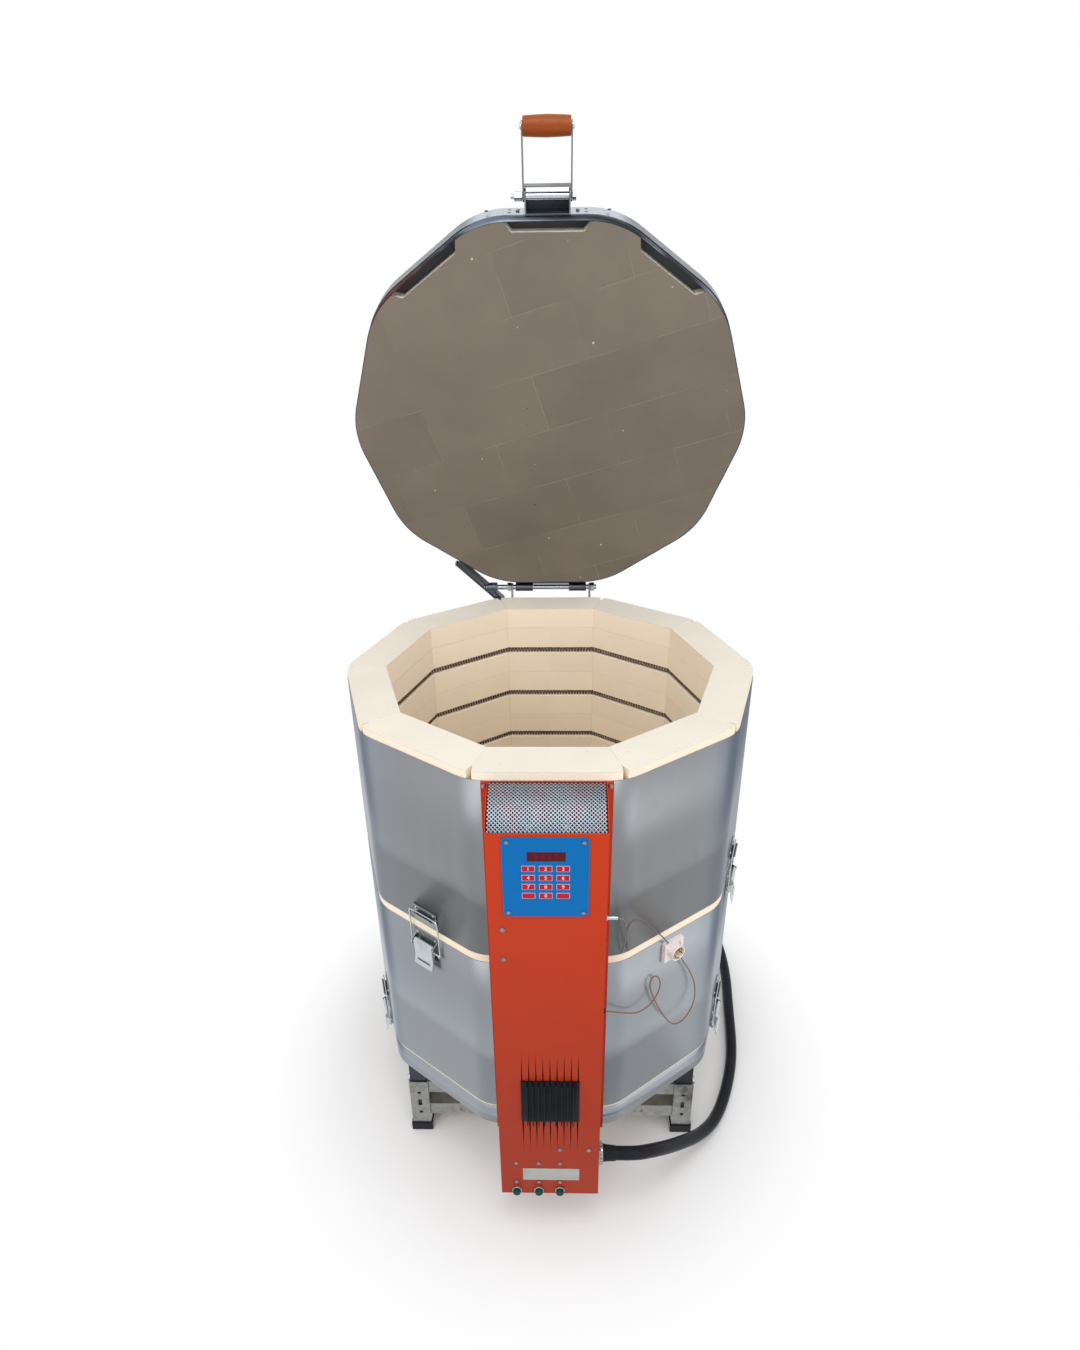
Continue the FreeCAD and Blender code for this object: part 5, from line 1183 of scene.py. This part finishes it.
class KILN_OT_controller(bpy.types.Operator):
    """Fit the controller plate with its display, keys and the bare plate below"""

    bl_idname = "kiln.controller"
    bl_label = "Controller"

    def execute(self, context):
        low, high = box_of("controller_plate")
        seen, far = box_of("display_window")
        plate = Draft()
        for x0, x1, z0, z1, radius in (
            (low.x, high.x, low.z, high.z, 7),
            (seen.x + 0.2, far.x - 0.2, seen.z + 0.2, far.z - 0.2, 1.5),
        ):
            corners = ((x0, z0), (x1, z0), (x1, z1), (x0, z1))
            ring = [plate.bm.verts.new((x, high.y, z)) for x, z in corners]
            for pair in zip(ring, ring[1:] + ring[:1]):
                plate.bm.edges.new(pair)
            round_off(plate.bm, ring, radius, 5)
        bmesh.ops.bridge_loops(plate.bm, edges=plate.bm.edges[:])
        plate.pull(plate.bm.faces[:], (0, low.y - high.y, 0))
        nodes = ["controller_plate"]
        plate.piece("controller_face", "controller_face", "controller_blue", nodes=nodes, soften=0.5)
        softened("display_window", "display_glass", soften=0.3)
        middle = (-1, seen.y - 0.1, (seen.z + far.z) / 2)
        letters("display_count", "8 8 8 8", 13, middle, "display_digits")
        pads = Draft()
        borders = Draft()
        lamps = Draft()
        low, high = box_of("keypad")
        pitch_x = (high.x - low.x - KEY_WIDTH) / 2
        pitch_z = (high.z - low.z - KEY_HEIGHT) / 3
        front = low.y
        for k, sign in enumerate("123456789 0 "):
            x = low.x + KEY_WIDTH / 2 + (k % 3) * pitch_x
            z = high.z - KEY_HEIGHT / 2 - (k // 3) * pitch_z
            for draft, wide, tall, face in ((pads, 9.2, 4.8, front), (borders, 10, 5.5, front + 0.25)):
                draft.block(x - wide, x + wide, face, PLATE_FRONT + 0.1, z - tall, z + tall)
            if sign in "123456789":
                lamps.lathe([(0, 0), (0.9, 0), (0, 0.5)], (x - 11.4, PLATE_FRONT, z), FRONT, 8)
            if sign != " ":
                letters("key_" + sign, sign, 9, (x, front - 0.05, z), "key_numbers", depth=0.08)
        pads.piece("key_pads", "key_pad", "keys", nodes=["keypad"], soften=0.2)
        borders.piece("key_borders", "key_border", "keys", soften=0.1)
        lamps.piece("key_lamps", "black_plastic", "black_plastic")
        label = Draft().block(-50, 55, BOX_FRONT - 0.7, BOX_FRONT, 158, 191)
        label.piece("bare_plate", "bare_plate", "bright_steel", soften=0.3)
        return {"FINISHED"}


class KILN_OT_panel_fittings(bpy.types.Operator):
    """Add the finned sink, the fuse caps and every screw of the box"""

    bl_idname = "kiln.panel_fittings"
    bl_label = "Panel fittings"

    def execute(self, context):
        softened("heat_sink", "sink_black", soften=0.35)
        caps = Draft()
        rings = Draft()
        for x in FUSES:
            foot = (x, BOX_FRONT, FUSE_Z)
            rings.lathe([(0, 0), (9, 0), (9, 2.2), (8.2, 3), (0, 3)], foot, FRONT, 24)
            caps.lathe([(0, 2), (7.4, 2), (7.2, 7.4), (6.4, 8.6), (0, 8.6)], foot, FRONT, 24)
            caps.lathe([(0, 0), (6, 0), (6, 36), (0, 36)], (x, BOX_FRONT + 1, FUSE_Z), BACK, 16)
        caps.piece("fuse_caps", "fuse_cap", "black_plastic", nodes=["fuse_holders"], soften=0.2)
        rings.piece("fuse_rings", "bolt_zinc", "fitting_steel", soften=0.2)
        heads = Draft()
        flange = Draft()
        screws(heads, (-96, 96), FLANGE, [990], 4.2)
        screws(flange, (-96, 96), FLANGE, (677, 577, 296), 4.2)
        flange.piece("flange_heads", "box_enamel", "box_paint")
        for x, z in ((-70, 773), (-70, 712), (71.5, 245.5), (19, 246)):
            screw(heads, (x, BOX_FRONT, z), FRONT, 4.5)
        screws(heads, FUSES, BOX_FRONT, (151, 206.5), 4)
        low, high = box_of("controller_plate")
        screws(heads, (low.x + 8, high.x - 8), low.y, (low.z + 8, high.z - 8), 3.6)
        heads.piece("box_heads", "screw_steel", "bright_steel", nodes=["box_screws"])
        return {"FINISHED"}


class KILN_OT_thermocouple(bpy.types.Operator):
    """Model the white ceramic block with its cup, terminals and wire ends"""

    bl_idname = "kiln.thermocouple"
    bl_label = "Thermocouple block"

    def execute(self, context):
        base = Draft()
        base.block(-22, 22, -380, -JACKET, 578, 618)
        cup = [(0, 0), (15, 0), (15.4, 2), (14.8, 11.4), (14, 12), (12.8, 11.4), (12.4, 2), (0, 1)]
        base.lathe(cup, (0, -380, 598), FRONT, 32)
        for side in (-1, 1):
            base.block(side * 15 - 3, side * 15 + 3, -384, -379, 604, 612)
        base.turn(FACE_TURN)
        base.piece("ceramic_block", "porcelain", "porcelain", nodes=["thermocouple_block"], soften=1)
        posts = Draft()
        for x in (-7.5, 0, 7.5):
            posts.block(x - 2.6, x + 2.6, -387, -380, 594, 604)
            posts.lathe([(0, 0), (2.6, 0), (2.5, 1.6), (0, 1.9)], (x, -387, 600), FRONT, 12)
        posts.turn(FACE_TURN)
        nodes = ["thermocouple_terminals"]
        posts.piece("terminal_posts", "brass", "terminal_brass", nodes=nodes, soften=0.4)
        left = [(-6, -387, 595), (-4, -390, 589), (6, -391, 584), (14, -385, 580)]
        right = [(8, -387, 596), (10, -391, 592), (14, -390, 587), (17, -384, 582)]
        for side, look, points in (("left", "lead_brown", left), ("right", "lead_red", right)):
            points.append((17, -376, 577))
            line("wire_end_" + side, points, 1.8, look, degrees=FACE_TURN)
        softened("thermocouple_probe", "porcelain", soften=0.5)
        return {"FINISHED"}


# Latches

LATCHES = (
    ("left_middle", -FACE_TURN, MID_JOINT),
    ("right_middle", 2 * FACE_TURN, MID_JOINT),
    ("left_floor", -2 * FACE_TURN, FLOOR_TOP),
    ("right_floor", 2 * FACE_TURN, FLOOR_TOP),
)


class KILN_OT_latches(bpy.types.Operator):
    """Finish the four draw latches with their round wire bails"""

    bl_idname = "kiln.latches"
    bl_label = "Draw latches"

    def execute(self, context):
        softened("latch_keepers", "latch_plate", soften=0.4)
        softened("latch_bases", "latch_plate", soften=0.4)
        heads = Draft()
        side = [(34, -376.2, -40), (34, -376.6, -10), (34, -377.3, 20), (34, -377.5, 35.5)]
        side.append((24, -377.5, 36))
        path = side + [(0, -377.5, 36)] + [(-x, y, z) for x, y, z in reversed(side)]
        ring = [(2.4, -1.4), (4.2, -1.4), (4.4, -1), (4.4, 1), (4.2, 1.4), (2.4, 1.4), (2.4, -1.4)]
        for place, azimuth, joint in LATCHES:
            softened(place + "_latch_lever", "bright_steel", place + "_lever", 0.4)
            bail = place + "_bail"
            nodes = [place + "_latch_bail"]
            wire = [(x, y, joint + z) for x, y, z in path]
            line(bail + "_wire", wire, 3, "bright_steel", bail, nodes, azimuth)
            eyes = Draft()
            for x in (-34, 34):
                eyes.lathe(ring, (x, -376.2, joint - 42), RIGHT, 20)
            eyes.turn(azimuth).piece(bail + "_eyes", "bright_steel", "latch_steel", bail)
            turn = Matrix.Rotation(math.radians(azimuth), 3, "Z")
            for x in (-21, 21):
                for up in (41, -16.5):
                    screw(heads, turn @ Vector((x, FLANGE, joint + up)), turn @ Vector(FRONT), 2.6, 1.4)
        heads.piece("latch_rivets", "bright_steel", "latch_steel")
        return {"FINISHED"}


# Stand


class KILN_OT_stand(bpy.types.Operator):
    """Finish the perforated stand, its clamp bolts and rubber boots"""

    bl_idname = "kiln.stand"
    bl_label = "Stand"

    def execute(self, context):
        softened("stand_legs", "galvanised", soften=1.2)
        softened("stand_rails", "galvanised", soften=0.6)
        softened("stand_risers", "riser_steel", soften=1)
        softened("stand_bolts", "bolt_zinc", soften=0.5)
        softened("stand_feet", "foot_rubber", soften=1.6)
        return {"FINISHED"}


class KILN_PT_panel(bpy.types.Panel):
    """The kiln's sizes, colours and pieces"""

    bl_idname = "KILN_PT_panel"
    bl_label = "Ceramic kiln"
    bl_space_type = "VIEW_3D"
    bl_region_type = "UI"
    bl_category = "Kiln"

    def draw(self, context):
        for group in (context.scene.kiln_sizes, context.scene.kiln_colours):
            box = self.layout.box()
            for name in type(group).__annotations__:
                box.prop(group, name)
        for operator in OPERATORS:
            self.layout.operator(operator.bl_idname)


OPERATORS = (
    KILN_OT_stage,
    KILN_OT_power_cord,
    KILN_OT_leads,
    KILN_OT_lining,
    KILN_OT_elements,
    KILN_OT_jackets,
    KILN_OT_lid,
    KILN_OT_hinge,
    KILN_OT_handle,
    KILN_OT_box,
    KILN_OT_controller,
    KILN_OT_panel_fittings,
    KILN_OT_thermocouple,
    KILN_OT_latches,
    KILN_OT_stand,
)


CLASSES = (KilnSizes, KilnColours, *OPERATORS, KILN_PT_panel)


def register():
    for cls in CLASSES:
        bpy.utils.register_class(cls)
    bpy.types.Scene.kiln_sizes = PointerProperty(type=KilnSizes)
    bpy.types.Scene.kiln_colours = PointerProperty(type=KilnColours)


def unregister():
    del bpy.types.Scene.kiln_sizes
    del bpy.types.Scene.kiln_colours
    for cls in reversed(CLASSES):
        bpy.utils.unregister_class(cls)


def main():
    register()
    for operator in OPERATORS:
        group, name = operator.bl_idname.split(".")
        getattr(getattr(bpy.ops, group), name)()
    bpy.context.view_layer.update()


if __name__ == "__main__":
    main()
